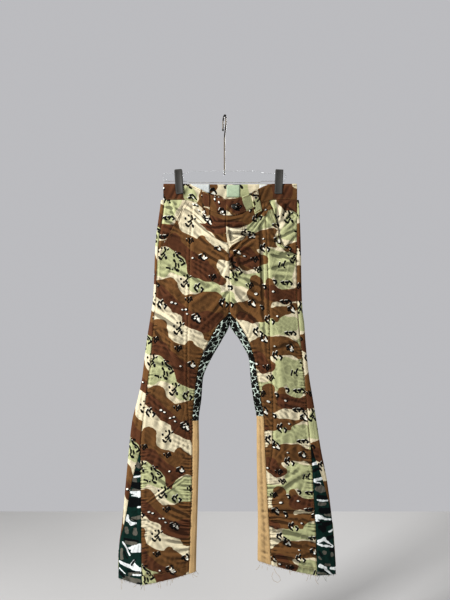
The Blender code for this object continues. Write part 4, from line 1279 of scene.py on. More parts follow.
@dataclass(frozen=True)
class Hard(Finish):
    """Metal or plastic with a fine uneven surface."""

    tone: str
    roughness: float
    metallic: float = 0.0
    mottle: float = 0.1
    scale: float = 600.0
    transmission: float = 0.0
    ior: float = 1.5

    def build(self, tree: bpy.types.NodeTree) -> Socket:
        """Add the finish's nodes.

        Args:
            tree: The material's tree.

        Returns:
            The shader.
        """
        node = partial(add_node, tree)
        place = node("TexCoord", {}, "Object")
        noise = node("TexNoise", {"Vector": place, "Scale": self.scale, "Detail": 3.0})
        share = {"Value": noise, "To Min": 1 - self.mottle, "To Max": 1 + self.mottle}
        share = {0: colour(self.tone)[:3], "Scale": node("MapRange", share)}
        low, high = self.roughness * 0.75, min(1.0, self.roughness * 1.3)
        surface = {
            "Base Color": node("VectorMath", share, operation="SCALE"),
            "Roughness": node("MapRange", {"Value": noise, "To Min": low, "To Max": high}),
            "Metallic": self.metallic,
            "Normal": node("Bump", {"Height": noise, "Strength": 0.08, "Distance": 0.0003}),
            "Transmission Weight": self.transmission,
            "IOR": self.ior,
        }
        return node("BsdfPrincipled", surface)


# The last four are pebble marks: pale glints, black strokes, and single white pebbles with
# a shaded side
DESERT_LAYERS = (
    Layer("green", "A9AB82"),
    Layer("brown", "67492B"),
    Layer("dark", "563623"),
    Layer("marks_pale", "ECEADC", 0.45, False),
    Layer("marks_black", "0A0806", 0.45, False),
    Layer("dot_shades", "0A0806", 0.45, False),
    Layer("dots", "F0EFE4", 0.45, False),
)
WOODLAND_LAYERS = (
    Layer("taupe", "605D54", 0.5),
    Layer("white", "D9DDDC", 0.4),
    Layer("black", "060A0C", 0.4),
)
# Cotton twill, rotary printed: dull, with print edges as soft as the ribs are wide
DESERT = Cotton("cotton_twill_desert_printed", "D2CAB0", "CABD9E", DESERT_CHART, DESERT_LAYERS)
# The same cloth in greens: darker, so that creases show mostly by their light edges
WOODLAND = Cotton(
    "cotton_twill_woodland_printed", "0C2F28", "0A241F", WOODLAND_CHART, WOODLAND_LAYERS, 5.0
)
# Light cotton, screen printed in black on a mint ground
LEOPARD = Leopard("cotton_leopard_printed", "9FB3A6", "CBD5CB")
# Plain-woven cotton canvas, dyed camel: coarse threads and a chalky surface
CANVAS = Cotton("cotton_canvas_dyed_camel", "B69A70", "AA8E66", weave=1.6)
# Woven label stock, pale green: close-set threads and no print
LABEL = Cotton("polyester_label_woven_green", "B9C9AE", "AFC0A4", weave=0.7)
# Woven label stock, white
WHITE_LABEL = Cotton("polyester_label_woven_white", "E6E8E6", "DCDFDD")
# Thin white lining cloth
LINING = Cotton("cotton_lining_woven_white", "D9DDDC", "CED4D3", weave=0.7)
# Spun polyester thread, tan: dull, darker where it dips into the cloth
TAN_THREAD = Cotton("polyester_thread_spun_tan", "8A6C45", "6E5233")
# Loose cotton yarn at a raw edge, paler than the print because only its face is coloured
FRAY = Cotton("cotton_yarn_frayed", "C2AC82", "8D7048")
# The same yarn out of the woodland cloth, dyed dark green in part
DARK_FRAY = Cotton("cotton_yarn_frayed_dark", "3B4038", "8C8E80")
# Cast acrylic, polished: so clear that only its outline shows
ACRYLIC = Hard(
    "acrylic_cast_polished", "FDFEFE", 0.02, mottle=0.0, scale=40.0, transmission=1.0, ior=1.15
)
# Painted highlight: the bar's edge faces are opaque, rough white acrylic, standing in for the bright
# refractions along a clear bar's edges
ACRYLIC_EDGE_PAINTED_HIGHLIGHT = Hard("acrylic_edge_painted_highlight", "FDFEFE", 0.45, mottle=0.03, scale=200.0, ior=1.49)
# Drawn steel wire, plated dark bronze: a dark line with narrow bright highlights
STEEL = Hard("steel_wire_bronze_plated", "4E483F", 0.34, metallic=1.0, scale=300.0)
# Zinc alloy button, blackened: dark metal, lighter where it rubs
GUNMETAL = Hard("zinc_alloy_blackened", "4A4A46", 0.38, metallic=1.0, mottle=0.25)
# Moulded ABS, near black: a soft even gloss
BLACK_ABS = Hard("abs_moulded_black", "393733", 0.62)
# Painted concrete, matt: the studio's floor
CONCRETE = Hard("concrete_painted_matt", "C6C5C4", 0.85, mottle=0.02, scale=3.0)


# ------------------------------------------------------------------ meshes


def activate(piece: bpy.types.Object) -> None:
    """Deselect all else, and make a piece the active one.

    Args:
        piece: The piece.
    """
    bpy.ops.object.select_all(action="DESELECT")
    piece.select_set(True)
    bpy.context.view_layer.objects.active = piece


def link(name: str, data: bpy.types.Mesh, finish: Finish) -> bpy.types.Object:
    """Put a mesh in the scene with its finish, riding on the body.

    Args:
        name: The piece's name.
        data: Its mesh.
        finish: Its material.

    Returns:
        The piece.
    """
    data.materials.append(finish.material())
    made = bpy.data.objects.new(name, data)
    bpy.context.scene.collection.objects.link(made)
    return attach(made, BODY)


def unit(steps: Array) -> Array:
    """The same directions, with a length of 1."""
    return steps / (np.linalg.norm(steps, axis=-1, keepdims=True) + 1e-9)


def points_at(path: Array, at: Array | float) -> Array:
    """Points of a line at these distances along it."""
    place = travelled(path)
    return np.stack([np.interp(at, place, line) for line in path.T], axis=-1)


def add_mesh(name: str, points: Array, faces: list, places: Array) -> bpy.types.Mesh:
    """A new mesh with its map of the cut cloth.

    Args:
        name: Its name.
        points: Its points, in millimetres.
        faces: The points' numbers round each face.
        places: Places on the cut cloth, one for each point.

    Returns:
        The mesh.
    """
    data = bpy.data.meshes.new(name)
    data.from_pydata((points * MM).tolist(), [], faces)
    corners = [corner for face in faces for corner in face]
    layer = data.uv_layers.new(name=CLOTH_UV)
    layer.data.foreach_set("uv", (places[corners] * MM).ravel().astype(np.float32))
    return data


@dataclass(frozen=True)
class Cloth:
    """A grid of cloth: rows of points down it and columns across, and its print's place."""

    points: Array
    across: Array
    down: Array
    flip: bool

    def make(self, name: str, finish: Finish, wall: float, prints: dict) -> bpy.types.Object:
        """Make the piece: a closed shell whose inside has every second point.

        Args:
            name: The piece's name.
            finish: Its material.
            wall: The cloth's thickness.
            prints: Each print layer's field at the points.

        Returns:
            The piece.
        """
        number = np.arange(self.across.size).reshape(self.across.shape)
        inner = (self.points - wall * self.outward())[::2, ::2]
        lining = np.arange(inner[..., 0].size).reshape(inner.shape[:2]) + number.size
        points = np.concatenate((self.points.reshape(-1, 3), inner.reshape(-1, 3)))
        quads = np.concatenate((self.squares(number), self.squares(lining)[:, ::-1]))
        edges = self.rim(number, lining)
        if self.flip:
            quads, edges = quads[:, ::-1], edges[:, ::-1]
        places = np.stack((self.across, self.down), axis=-1)
        places = np.concatenate((places.reshape(-1, 2), places[::2, ::2].reshape(-1, 2)))
        data = add_mesh(name, points, quads.tolist() + edges.tolist(), places)
        data.polygons.foreach_set("use_smooth", np.arange(len(data.polygons)) < len(quads))
        # raised drives the finish's painted shade in crease troughs and the fading of its ridges
        for key, values in {**prints, "raised": self.raised()}.items():
            attribute = data.attributes.new(key, "FLOAT", "POINT")
            both = np.concatenate((values.ravel(), values[::2, ::2].ravel()))
            attribute.data.foreach_set("value", both.astype(np.float32))
        return link(name, data, finish)

    @staticmethod
    def squares(number: Array) -> Array:
        """Faces between the points of a grid of numbers."""
        corners = (number[:-1, :-1], number[1:, :-1], number[1:, 1:], number[:-1, 1:])
        return np.stack(corners, axis=-1).reshape(-1, 4)

    @staticmethod
    def rim(number: Array, lining: Array) -> Array:
        """Triangles that close the edge between the outside and the coarser inside.

        Args:
            number: Numbers of the outside's points.
            lining: Numbers of the inside's points.

        Returns:
            The triangles' corners, three for each step of the inside's edge.
        """
        out, back = (
            np.concatenate((grid[0, :-1], grid[:-1, -1], grid[-1, :0:-1], grid[:0:-1, 0], grid[0, :1]))
            for grid in (number, lining)
        )
        first, middle, last, here, there = out[:-1:2], out[1::2], out[2::2], back[:-1], back[1:]
        sides = ((first, middle, here), (middle, there, here), (middle, last, there))
        return np.concatenate([np.stack(side, axis=-1) for side in sides])

    def outward(self) -> Array:
        """The outward direction at each point."""
        down, across = np.gradient(self.points, axis=(0, 1))
        return unit(np.cross(down, across)) * (-1 if self.flip else 1)

    def raised(self, reach: float = 6.0) -> Array:
        """How far each point stands out from the cloth about it.

        Args:
            reach: How far off that cloth lies.

        Returns:
            Heights, negative in a hollow.
        """
        total = np.zeros(self.across.shape)
        for axis in (0, 1):
            pitch = np.median(np.linalg.norm(np.diff(self.points, axis=axis), axis=-1))
            last = self.points.shape[axis] - 1
            step = int(np.clip(round(reach / pitch), 1, last))
            place = np.arange(last + 1)
            before = np.take(self.points, np.maximum(place - step, 0), axis=axis)
            after = np.take(self.points, np.minimum(place + step, last), axis=axis)
            total += ((self.points - (before + after) / 2) * self.outward()).sum(axis=-1)
        return total

    def area(self) -> float:
        """Measure the cloth.

        Returns:
            Its area in square metres.
        """
        grid = self.points * MM
        corner = grid[:-1, :-1]
        low, cross, right = grid[1:, :-1] - corner, grid[1:, 1:] - corner, grid[:-1, 1:] - corner
        halves = np.cross(low, cross), np.cross(cross, right)
        return float(np.linalg.norm(halves, axis=-1).sum() / 2)

    def size(self) -> tuple[float, float]:
        """Measure the least rectangle that it could be cut from.

        Returns:
            Its width and length in metres.
        """
        wide = np.linalg.norm(np.diff(self.points, axis=1), axis=-1).sum(axis=1).max()
        long = np.linalg.norm(np.diff(self.points, axis=0), axis=-1).sum(axis=0).max()
        return float(wide) * MM, float(long) * MM


def threads(
    name: str, runs: Sequence[Array], radius: float, finish: Finish, sides: int = 3
) -> bpy.types.Object:
    """Short threads along runs of points, as one piece.

    Args:
        name: The piece's name.
        runs: Points of each thread, in order.
        radius: Half a thread's thickness.
        finish: The thread's material.
        sides: Faces round each thread.

    Returns:
        The piece.
    """
    points, faces, base = [], [], 0
    turn = (np.arange(sides) * math.tau / sides)[:, None]
    for run in runs:
        way = unit(np.gradient(run, axis=0))
        aside = unit(np.cross(way, (0.31, 0.83, 0.46)))[:, None]
        over = np.cross(way[:, None], aside)
        rings = run[:, None] + radius * (aside * np.cos(turn) + over * np.sin(turn))
        points.append(rings.reshape(-1, 3))
        number = np.arange(len(run) * sides).reshape(-1, sides) + base
        base += number.size
        after = np.roll(number, -1, axis=1)
        quads = np.stack((number[:-1], after[:-1], after[1:], number[1:]), axis=-1)
        faces += quads.reshape(-1, 4).tolist() + [number[0, ::-1].tolist(), number[-1].tolist()]
    points = np.concatenate(points)
    return link(name, add_mesh(name, points, faces, points[:, (0, 2)]), finish)


def stitches(path: Array, length: float = 3.0, gap: float = 1.0) -> list[Array]:
    """Short straight stitches along a path.

    Args:
        path: Points of the sewn line.
        length: Length of a stitch.
        gap: Cloth that shows between two stitches.

    Returns:
        Both ends and the middle of each stitch.
    """
    starts = np.arange(0.0, travelled(path)[-1] - length, length + gap)
    return [points_at(path, start + np.array((0.0, 0.5, 1.0)) * length) for start in starts]


# ------------------------------------------------------------------ the jeans

GAP = 0.3
FRONT_STEP = 1.62
BACK_STEP = 3.1

# How each piece of a leg was cut from its print
LAYS = {
    Leg.LEFT: {
        "front": Lay(149.2176, -565.6, 0.104, gathers=(900, 1260, 40)),
        "facing": Lay(76, 216, 0.104),
        "back": Lay(220, 116, 0.104),
        "godet": Lay(295.4, -949.2),
        "hem_front": Lay(276, -1130),
        "hem_back": Lay(250, 26, 0.104),
    },
    Leg.RIGHT: {
        "front": Lay(249.9568, -565.6, -0.1135, gathers=(905, 1250, 47)),
        "facing": Lay(292, 136, -0.1135),
        "back": Lay(289.9568, -415.6, -0.1135),
        "godet": Lay(-162, -949.2),
        "hem_front": Lay(108, -1115),
        "hem_back": Lay(319.9568, -505.6, -0.1135),
    },
}


@dataclass(frozen=True)
class Cut:
    """One piece of a leg. Its edges are turns at each drop, with any fold between them."""

    leg: Leg
    kind: str
    top: float
    bottom: float
    edges: tuple[Edge, ...]
    finish: Cotton
    lay: Lay = Lay()
    step: float = FRONT_STEP
    round_leg: bool = False
    lift: Lift | None = None

    @property
    def name(self) -> str:
        """Name of the solid that it stands for."""
        return f"{self.kind}_{self.leg.value}"


@dataclass(frozen=True)
class Loop:
    """A belt loop: X of its middle at both ends, and where it was cut from the print."""

    name: str
    face: Face
    top_x: float
    end_x: float
    place: float
    top: float = 191.0
    length: float = 66.0
    half_width: float = 10.0
    row_aside: float = 6.8
    tacks: tuple[float, float] = (195.0, 252.0)
    lift: float = 2.7
    wall: float = 1.9

    def middle(self, drop: Array) -> Array:
        """X of its middle at each drop."""
        return self.top_x + (self.end_x - self.top_x) * (drop - self.top) / self.length

    @property
    def over(self) -> bool:
        """Whether it lies on the right front band, which overlaps the left."""
        return self.face is Face.FRONT and self.end_x > 0


LOOPS = (
    Loop("belt_loop_front_left", Face.FRONT, -50.5, -50.5, 15.0),
    Loop("belt_loop_front_right", Face.FRONT, 82.0, 94.0, 150.0),
    Loop("belt_loop_back_left", Face.BACK, -86.0, -86.0, 90.0),
    Loop("belt_loop_back_centre", Face.BACK, 16.0, 16.0, 200.0),
    Loop("belt_loop_back_right", Face.BACK, 118.0, 118.0, 260.0),
)
# Label and lining pieces inside the back band: their ends across and down
PATCHES = (
    ("waist_label", (6.0, 43.0, 192.0, 226.0), LABEL),
    ("white_label", (98.0, 121.0, 191.5, 210.0), WHITE_LABEL),
    ("waist_lining", (-93.0, -42.0, 191.0, 214.0), LINING),
)
# The longest loose yarns, point by point in X, Y and Z
LONG_YARNS = (
    ((-289, -6, -1279), (-290, -8, -1288), (-287, -9, -1299), (-288, -8, -1310), (-286, -7, -1321)),
    ((-286, -6, -1284), (-284, -8, -1291), (-285, -9, -1299), (-283, -8, -1305)),
    ((-243, -28, -1298), (-246, -30, -1301), (-250, -31, -1303)),
    ((-186, -28, -1291), (-182, -30, -1298), (-181, -30, -1304)),
    ((-92, -16, -1270), (-88, -18, -1277), (-86, -18, -1284)),
    ((98, -22, -1245), (95, -24, -1250), (91, -25, -1255), (86, -25, -1258)),
    ((136, -28, -1252), (140, -30, -1262), (150, -31, -1272), (154, -30, -1284), (146, -29, -1291),
     (134, -28, -1286), (130, -28, -1274), (134, -29, -1262)),
    ((232, -26, -1272), (228, -28, -1280), (225, -28, -1287)),
    ((252, -22, -1276), (251, -24, -1286), (255, -24, -1294), (259, -23, -1299)),
    ((104, -24, -1247), (103, -26, -1254)),
    ((118, -26, -1250), (117, -28, -1258)),
)


@dataclass(frozen=True)
class Sheet:
    """A piece of cloth that has been made, its grid, and what holds it."""

    piece: bpy.types.Object
    cloth: Cloth
    rests_on: tuple[str, ...]


@dataclass(frozen=True)
class Jeans:
    """The garment: its panels, waistband, loops, labels, sewing and loose threads."""

    form: Form = field(default_factory=Form)
    cloth_wall: float = 1.3
    band_wall: float = 2.4
    patch_wall: float = 0.55
    band_step: float = 1.5
    overlap: float = 2.75
    overlap_ends: tuple[float, float] = (38.0, 75.0)
    crotch_turns_over: float = 120.0
    crotch_columns: int = 15
    band_rows: tuple[float, float] = (195.0, 231.0)
    dot_shrunk: float = 1.7
    shade_shrunk: float = 0.7
    shade_aside: tuple[float, float] = (2.6, 1.6)
    fly_fades: tuple[float, float] = (400.0, 430.0)
    fold_width: float = 9.0
    fly_height: float = 1.8
    facing_depth: float = 3.2
    patch_depth: float = 3.3
    clips: tuple[str, ...] = ("clip_left_front", "clip_right_front")
    made: dict[str, Sheet] = field(default_factory=dict)

    def mouth_x(self, leg: Leg, drop: Array) -> Array:
        """X of the front's outer edge: the pocket's mouth, then the side seam.

        Args:
            leg: The leg.
            drop: Drops.

        Returns:
            X at each drop.
        """
        side = self.form.seam(leg, "side", drop)
        mouth = np.where(drop > LEVELS[leg].pocket_end, side, POCKET_MOUTH[leg](drop))
        return np.maximum(mouth, side) if leg is Leg.LEFT else np.minimum(mouth, side)

    def edge(self, leg: Leg, name: str, drop: Array) -> Array:
        """The turn of a seam on the front at each drop.

        Args:
            leg: The leg.
            name: A column of LEGS, or mouth for the front's outer edge. The strip's seam
                is the centre seam above the crotch, the panel's joins the strip's below
                the panel, and the godet's joins the side seam above the godet.
            drop: Drops.

        Returns:
            Turns.
        """
        form = self.form
        x = self.mouth_x(leg, drop) if name == "mouth" else form.seam(leg, name, drop)
        turn = form.turn_at(leg, Face.FRONT, drop, x)
        if name == "strip":
            return np.where(drop > form.crotch_front, turn, 1.0)
        if name == "panel":
            return np.where(drop <= LEVELS[leg].panel_end, turn, self.edge(leg, "strip", drop))
        if name == "godet":
            return np.where(drop <= LEVELS[leg].godet_apex, self.edge(leg, "side", drop), turn)
        return turn

    def drawn_in(self, leg: Leg, drops: Array, turn: Array, way: float) -> Array:
        """A cut edge's turn, moved in by half the gap between pieces."""
        moved = self.form.shifted(leg, drops, turn, way * self.form.seam_half)
        return np.where(np.abs(turn) == 1, turn, moved)

    def cloth(self, cut: Cut, drops: Array) -> Cloth:
        """The grid of a cut piece.

        Args:
            cut: The piece.
            drops: Drops of its rows, in a column.

        Returns:
            Its points and where its print lies.
        """
        leg, form = cut.leg, self.form
        stops = [np.broadcast_to(edge(drops), drops.shape).astype(float) for edge in cut.edges]
        inward = -1.0 if (stops[-1] < stops[0]).all() else 1.0
        stops[0] = self.drawn_in(leg, drops, stops[0], inward)
        stops[-1] = self.drawn_in(leg, drops, stops[-1], -inward)
        turns = [stops[0]]
        for start, end in zip(stops, stops[1:]):
            reach = np.abs(form.section(leg, drops, end) - form.section(leg, drops, start))
            count = max(2, steps_between(0.0, 1.25 * reach[..., :2].max(), cut.step))
            turns.append(start + (end - start) * np.linspace(0, 1, count + 1)[None, 1:])
        turn = np.concatenate(turns, axis=1)
        drop = np.broadcast_to(drops, turn.shape)
        place = form.section(leg, drop, turn)
        x = place[..., 0]
        points = form.surface(leg, drop, turn, cut.lift(x, drop) if cut.lift else 0.0)
        across = x
        if cut.round_leg:
            steps = np.hypot(*np.moveaxis(np.diff(place[..., :2], axis=1), -1, 0))
            across = x[:, :1] + leg.sign * np.cumsum(np.pad(steps, ((0, 0), (1, 0))), axis=1)
        flip = (inward < 0) != (leg is Leg.RIGHT)
        return Cloth(points, across, drop + form.hem_fall(leg, x, drop), flip)

    def dress(
        self,
        name: str,
        cloth: Cloth,
        finish: Cotton,
        lay: Lay = Lay(),
        wall: float = cloth_wall,
        rests_on: Sequence[str] = clips,
    ) -> None:
        """Make a piece of cloth with its print, in place of its solid.

        Args:
            name: Name of the solid.
            cloth: The piece's grid.
            finish: Its material.
            lay: How it was cut from the print.
            wall: Its thickness.
            rests_on: What it hangs from.
        """
        across, down = lay.place(cloth.across, cloth.down)
        prints, chart = {}, finish.chart
        if chart is not None:
            prints = {key: chart.field(key, across, down) for key in chart.layers}
        if chart is DESERT_CHART:
            prints.update(chart.marks(across, down))
            prints["dots"] -= self.dot_shrunk
            right, below = self.shade_aside
            shades = chart.field("dots", across - right, down - below)
            prints["dot_shades"] = shades - self.shade_shrunk
        printed = Cloth(cloth.points, across, down, cloth.flip)
        made = printed.make(f"cloth_{name}", finish, wall, prints)
        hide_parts(name)
        self.made[name] = Sheet(made, cloth, tuple(rests_on))

    def declare(self, extras: dict[str, list[bpy.types.Object]]) -> None:
        """Log each sheet's size and area.

        Args:
            extras: Further pieces on each sheet, by the name of its solid. Not used.
        """
        for name, sheet in self.made.items():
            wide, long = sheet.cloth.size()
            area = sheet.cloth.area()
            LOG.info("cloth_%s: %.0f by %.0f mm, %.4f m2", name, wide / MM, long / MM, area)

    def fly_lift(self, x: Array, drop: Array) -> Array:
        """The fly's free edge stands out over the left front, down to its lower bar tack."""
        away = x - self.form.centre(Leg.RIGHT, drop, Face.FRONT)
        return ridge(away, self.fold_width, self.fly_height) * (1 - ease(*self.fly_fades, drop))

    def facing_lift(self, leg: Leg, x: Array, drop: Array) -> Array:
        """The facing lies lower towards the mouth, behind the front panel."""
        away = np.abs(x - self.mouth_x(leg, drop))
        return ridge(away, self.fold_width, -self.facing_depth)

    def mouth_lift(self, leg: Leg, x: Array, drop: Array) -> Array:
        """The pocket's mouth stands out along its folded edge."""
        away, end = np.abs(x - self.mouth_x(leg, drop)), LEVELS[leg].pocket_end
        return (ridge(away, 7.0, 1.6) + ridge(away, 1.2, -0.9)) * (1 - ease(end - 30, end, drop))

    def cuts(self, leg: Leg) -> list[Cut]:
        """The pieces of one leg but its leopard strip.

        Args:
            leg: The leg.

        Returns:
            The pieces, in the order in which they are made.
        """
        levels, lays, cut = LEVELS[leg], LAYS[leg], partial(Cut, leg)
        top, band_top = self.form.waist_seam + GAP, levels.hem_seam + GAP
        canvas_top = levels.leopard_end + GAP
        side, mouth, panel, strip, godet = (
            partial(self.edge, leg, name) for name in ("side", "mouth", "panel", "strip", "godet")
        )
        fold, inner_fold = np.zeros_like, np.ones_like
        mouth_lift, facing_lift = partial(self.mouth_lift, leg), partial(self.facing_lift, leg)
        fly_lift = self.fly_lift if leg is Leg.RIGHT else None

        def behind(drop: Array) -> Array:
            """The strip's seam on the back."""
            return -strip(drop)

        def round_behind(drop: Array) -> Array:
            """The same seam, reached round the inner fold."""
            return 2 - strip(drop)

        return [
            cut("front_outer", top, levels.hem_seam, (mouth, panel), DESERT, lays["front"],
                lift=mouth_lift),
            cut("front_inner", top, levels.panel_end, (panel, strip), DESERT, lays["front"],
                lift=fly_lift),
            cut("pocket_facing", top, levels.pocket_foot, (side, mouth), DESERT, lays["facing"],
                lift=facing_lift),
            cut("back", top, levels.hem_seam, (godet, fold, behind), DESERT, lays["back"],
                BACK_STEP, round_leg=True),
            cut("godet", levels.godet_top, levels.hem, (godet, side), WOODLAND, lays["godet"]),
            cut("inseam_canvas", canvas_top, levels.hem, (strip, inner_fold, round_behind), CANVAS,
                round_leg=True),
            cut("hem_front", band_top, levels.hem, (side, strip), DESERT, lays["hem_front"]),
            cut("hem_back", band_top, levels.hem, (fold, behind), DESERT, lays["hem_back"],
                BACK_STEP, round_leg=True),
        ]

    def make_leg(self, leg: Leg) -> None:
        """Make the pieces of one leg.

        Args:
            leg: The leg.
        """
        for cut in self.cuts(leg):
            grid = self.cloth(cut, rows_between(cut.top, cut.bottom, cut.step))
            self.dress(cut.name, grid, cut.finish, cut.lay)
        self.make_leopard_strip(leg)

    def make_leopard_strip(self, leg: Leg) -> None:
        """Make the strip that starts as the crotch seam, under the crotch, and whose next
        rows turn level as they come down the leg.

        Args:
            leg: The leg.
        """
        form, last = self.form, self.crotch_columns - 1
        first = form.crotch_front + 2 * GAP
        edge_drop = rows_between(first, LEVELS[leg].leopard_end, FRONT_STEP)
        away = np.maximum(0.0, 1 - (edge_drop - first) / self.crotch_turns_over)
        under = edge_drop + (form.crotch_under - first) * away**2
        edge = self.drawn_in(leg, edge_drop, self.edge(leg, "strip", edge_drop), 1.0)
        edge[0] = 1.0
        share = np.linspace(0, 1, self.crotch_columns)[None, :]
        drop, turn = edge_drop + (under - edge_drop) * share, edge + (1 - edge) * share
        drop = np.concatenate((drop, drop[:, -2::-1]), axis=1)
        turn = np.concatenate((turn, -turn[:, -2::-1]), axis=1)
        points = form.surface(leg, drop, turn)
        steps = np.linalg.norm(np.diff(points, axis=1), axis=-1)
        arc = np.cumsum(np.pad(steps, ((0, 0), (1, 0))), axis=1)
        cloth = Cloth(points, arc - arc[:, last : last + 1], drop, leg is Leg.RIGHT)
        self.dress(f"inseam_leopard_{leg.value}", cloth, LEOPARD)

    # -------------------------------------------------------------- the waist

    def waist_cloth(self, face: Face, x: Array, drops: Array, lift: Lift) -> Cloth:
        """A grid on the waist.

        Args:
            face: Front or back.
            x: X of each column, or of each point.
            drops: Drop of each row, in a column.
            lift: How far points are moved out.

        Returns:
            The grid.
        """
        x, drop = np.broadcast_arrays(x, drops)
        points = self.form.waist_surface(face, x, drop, lift(x, drop))
        return Cloth(points, x.copy(), drop.copy(), face is Face.BACK)

    def overlap_lift(self, x: Array) -> Array:
        """The right half lies over the left's end, then comes back to the panels' line."""
        return (self.overlap + GAP) * (1 - ease(*self.overlap_ends, x))

    def band_lift(self, x: Array, drop: Array, over: bool = False) -> Array:
        """How far the band stands out: its folded top, its seam, and its two sewn rows.

        Args:
            x: X of each point.
            drop: Drop of each point.
            over: Whether it is the right front half, which overlaps the left.

        Returns:
            Heights.
        """
        top, seam = self.form.waist_top, self.form.waist_seam
        lift = ridge(drop - top, 1.6, -0.9) + ridge(drop - seam, 1.6, -0.7)
        for row in self.band_rows:
            lift = lift - ridge(drop - row, 1.8, 0.45 + 0.2 * uneven(x, 14.0, row))
        creased = 0.5 * uneven(x + 0.5 * drop, 23.0, 4.0) + 0.4 * uneven(x - 0.9 * drop, 47.0, 2.0)
        lift = lift + creased * ease(top, top + 6, drop)
        return lift + self.overlap_lift(x) if over else lift

    def make_waistband(self) -> None:
        """Make the band's three pieces."""
        drops = rows_between(self.form.waist_top, self.form.waist_seam, self.band_step)
        left = float(self.form.seam(Leg.LEFT, "outer", self.form.waist_top)) + 1
        right = float(self.form.seam(Leg.RIGHT, "outer", self.form.waist_top)) - 1
        for name, face, start, end, u, v in (
            ("waistband_front_left", Face.FRONT, left, 36.4, 320.0, 4.0),
            ("waistband_front_right", Face.FRONT, 5.0, right, 368.0, 148.0),
            ("waistband_back", Face.BACK, left, right, 32.0, 144.0),
        ):
            x = np.linspace(start, end, steps_between(start, end, 1.8) + 1)[None, :]
            lift = partial(self.band_lift, over=name == "waistband_front_right")
            grid = self.waist_cloth(face, x, drops, lift)
            self.dress(name, grid, DESERT, Lay(u, v, sideways=True), self.band_wall)

    def loop_lift(self, loop: Loop, x: Array, drop: Array) -> Array:
        """How far a loop stands off the band: its edges, sewn rows and ends dip.

        Args:
            loop: The loop.
            x: X of each point.
            drop: Drop of each point.

        Returns:
            Heights.
        """
        away = np.abs(x - loop.middle(drop))
        lift = loop.lift + ridge(away - loop.half_width, 1.0, -1.0)
        lift = lift + ridge(away - loop.row_aside, 0.9, -0.4)
        lift = lift + sum(ridge(drop - tack, 1.6, -0.6) for tack in loop.tacks)
        return lift + (self.overlap_lift(x) if loop.over else 0.0)

    def make_loop(self, loop: Loop) -> None:
        """Make a belt loop.

        Args:
            loop: The loop.
        """
        drops = rows_between(loop.top, loop.top + loop.length, self.band_step)
        x = loop.middle(drops) + np.linspace(-loop.half_width, loop.half_width, 15)[None, :]
        cloth = self.waist_cloth(loop.face, x, drops, partial(self.loop_lift, loop))
        self.dress(loop.name, cloth, DESERT, Lay(loop.place, loop.place * 1.7), loop.wall)

    def make_patch(self, name: str, ends: tuple[float, ...], finish: Cotton) -> None:
        """Make a label or lining inside the back waistband.

        Args:
            name: The solid's name.
            ends: Its ends across and down.
            finish: Its material.
        """
        start, end, top, bottom = ends

        def lift(x: Array, drop: Array) -> Array:
            """Inside the band, and slightly creased."""
            creased = 0.12 * uneven(x, 17.0, start) * uneven(drop, 13.0, end)
            return creased - self.patch_depth

        x = np.linspace(start, end, steps_between(start, end, 2.0) + 1)[None, :]
        grid = self.waist_cloth(Face.BACK, x, rows_between(top, bottom, self.band_step), lift)
        held_by = ("cloth_waistband_back",)
        self.dress(name, grid, finish, wall=self.patch_wall, rests_on=held_by)

    def build(self) -> None:
        """Make the whole garment."""
        for leg in Leg:
            self.make_leg(leg)
        self.make_waistband()
        for loop in LOOPS:
            self.make_loop(loop)
        for patch in PATCHES:
            self.make_patch(*patch)
        self.declare(Sewing(self).build())


# Rows of stitches beside a leg's seams: face, seam, first and last drop, and how far in from
# the seam they run
SEAM_ROWS = {
    Leg.LEFT: (
        (Face.FRONT, "panel", 240, 916, 2.2),
        (Face.FRONT, "side", 378, 1240, 2.2),
        (Face.FRONT, "strip", 560, 1240, -2.2),
        (Face.BACK, "strip", 560, 1240, -2.2),
        (Face.BACK, "strip", 240, 548, -2.2),
        (Face.BACK, "strip", 240, 548, -8.2),
    ),
    Leg.RIGHT: (
        (Face.FRONT, "panel", 240, 982, 2.2),
        (Face.FRONT, "side", 392, 1216, 2.2),
        (Face.FRONT, "strip", 560, 1216, -2.2),
        (Face.BACK, "strip", 560, 1216, -2.2),
    ),
}
# The curved rows that hold the fly: X over drop
FLY_ROW = Curve(((241, 58.8), (317, 51.8), (384, 37.8), (410, 27), (424, 18)))


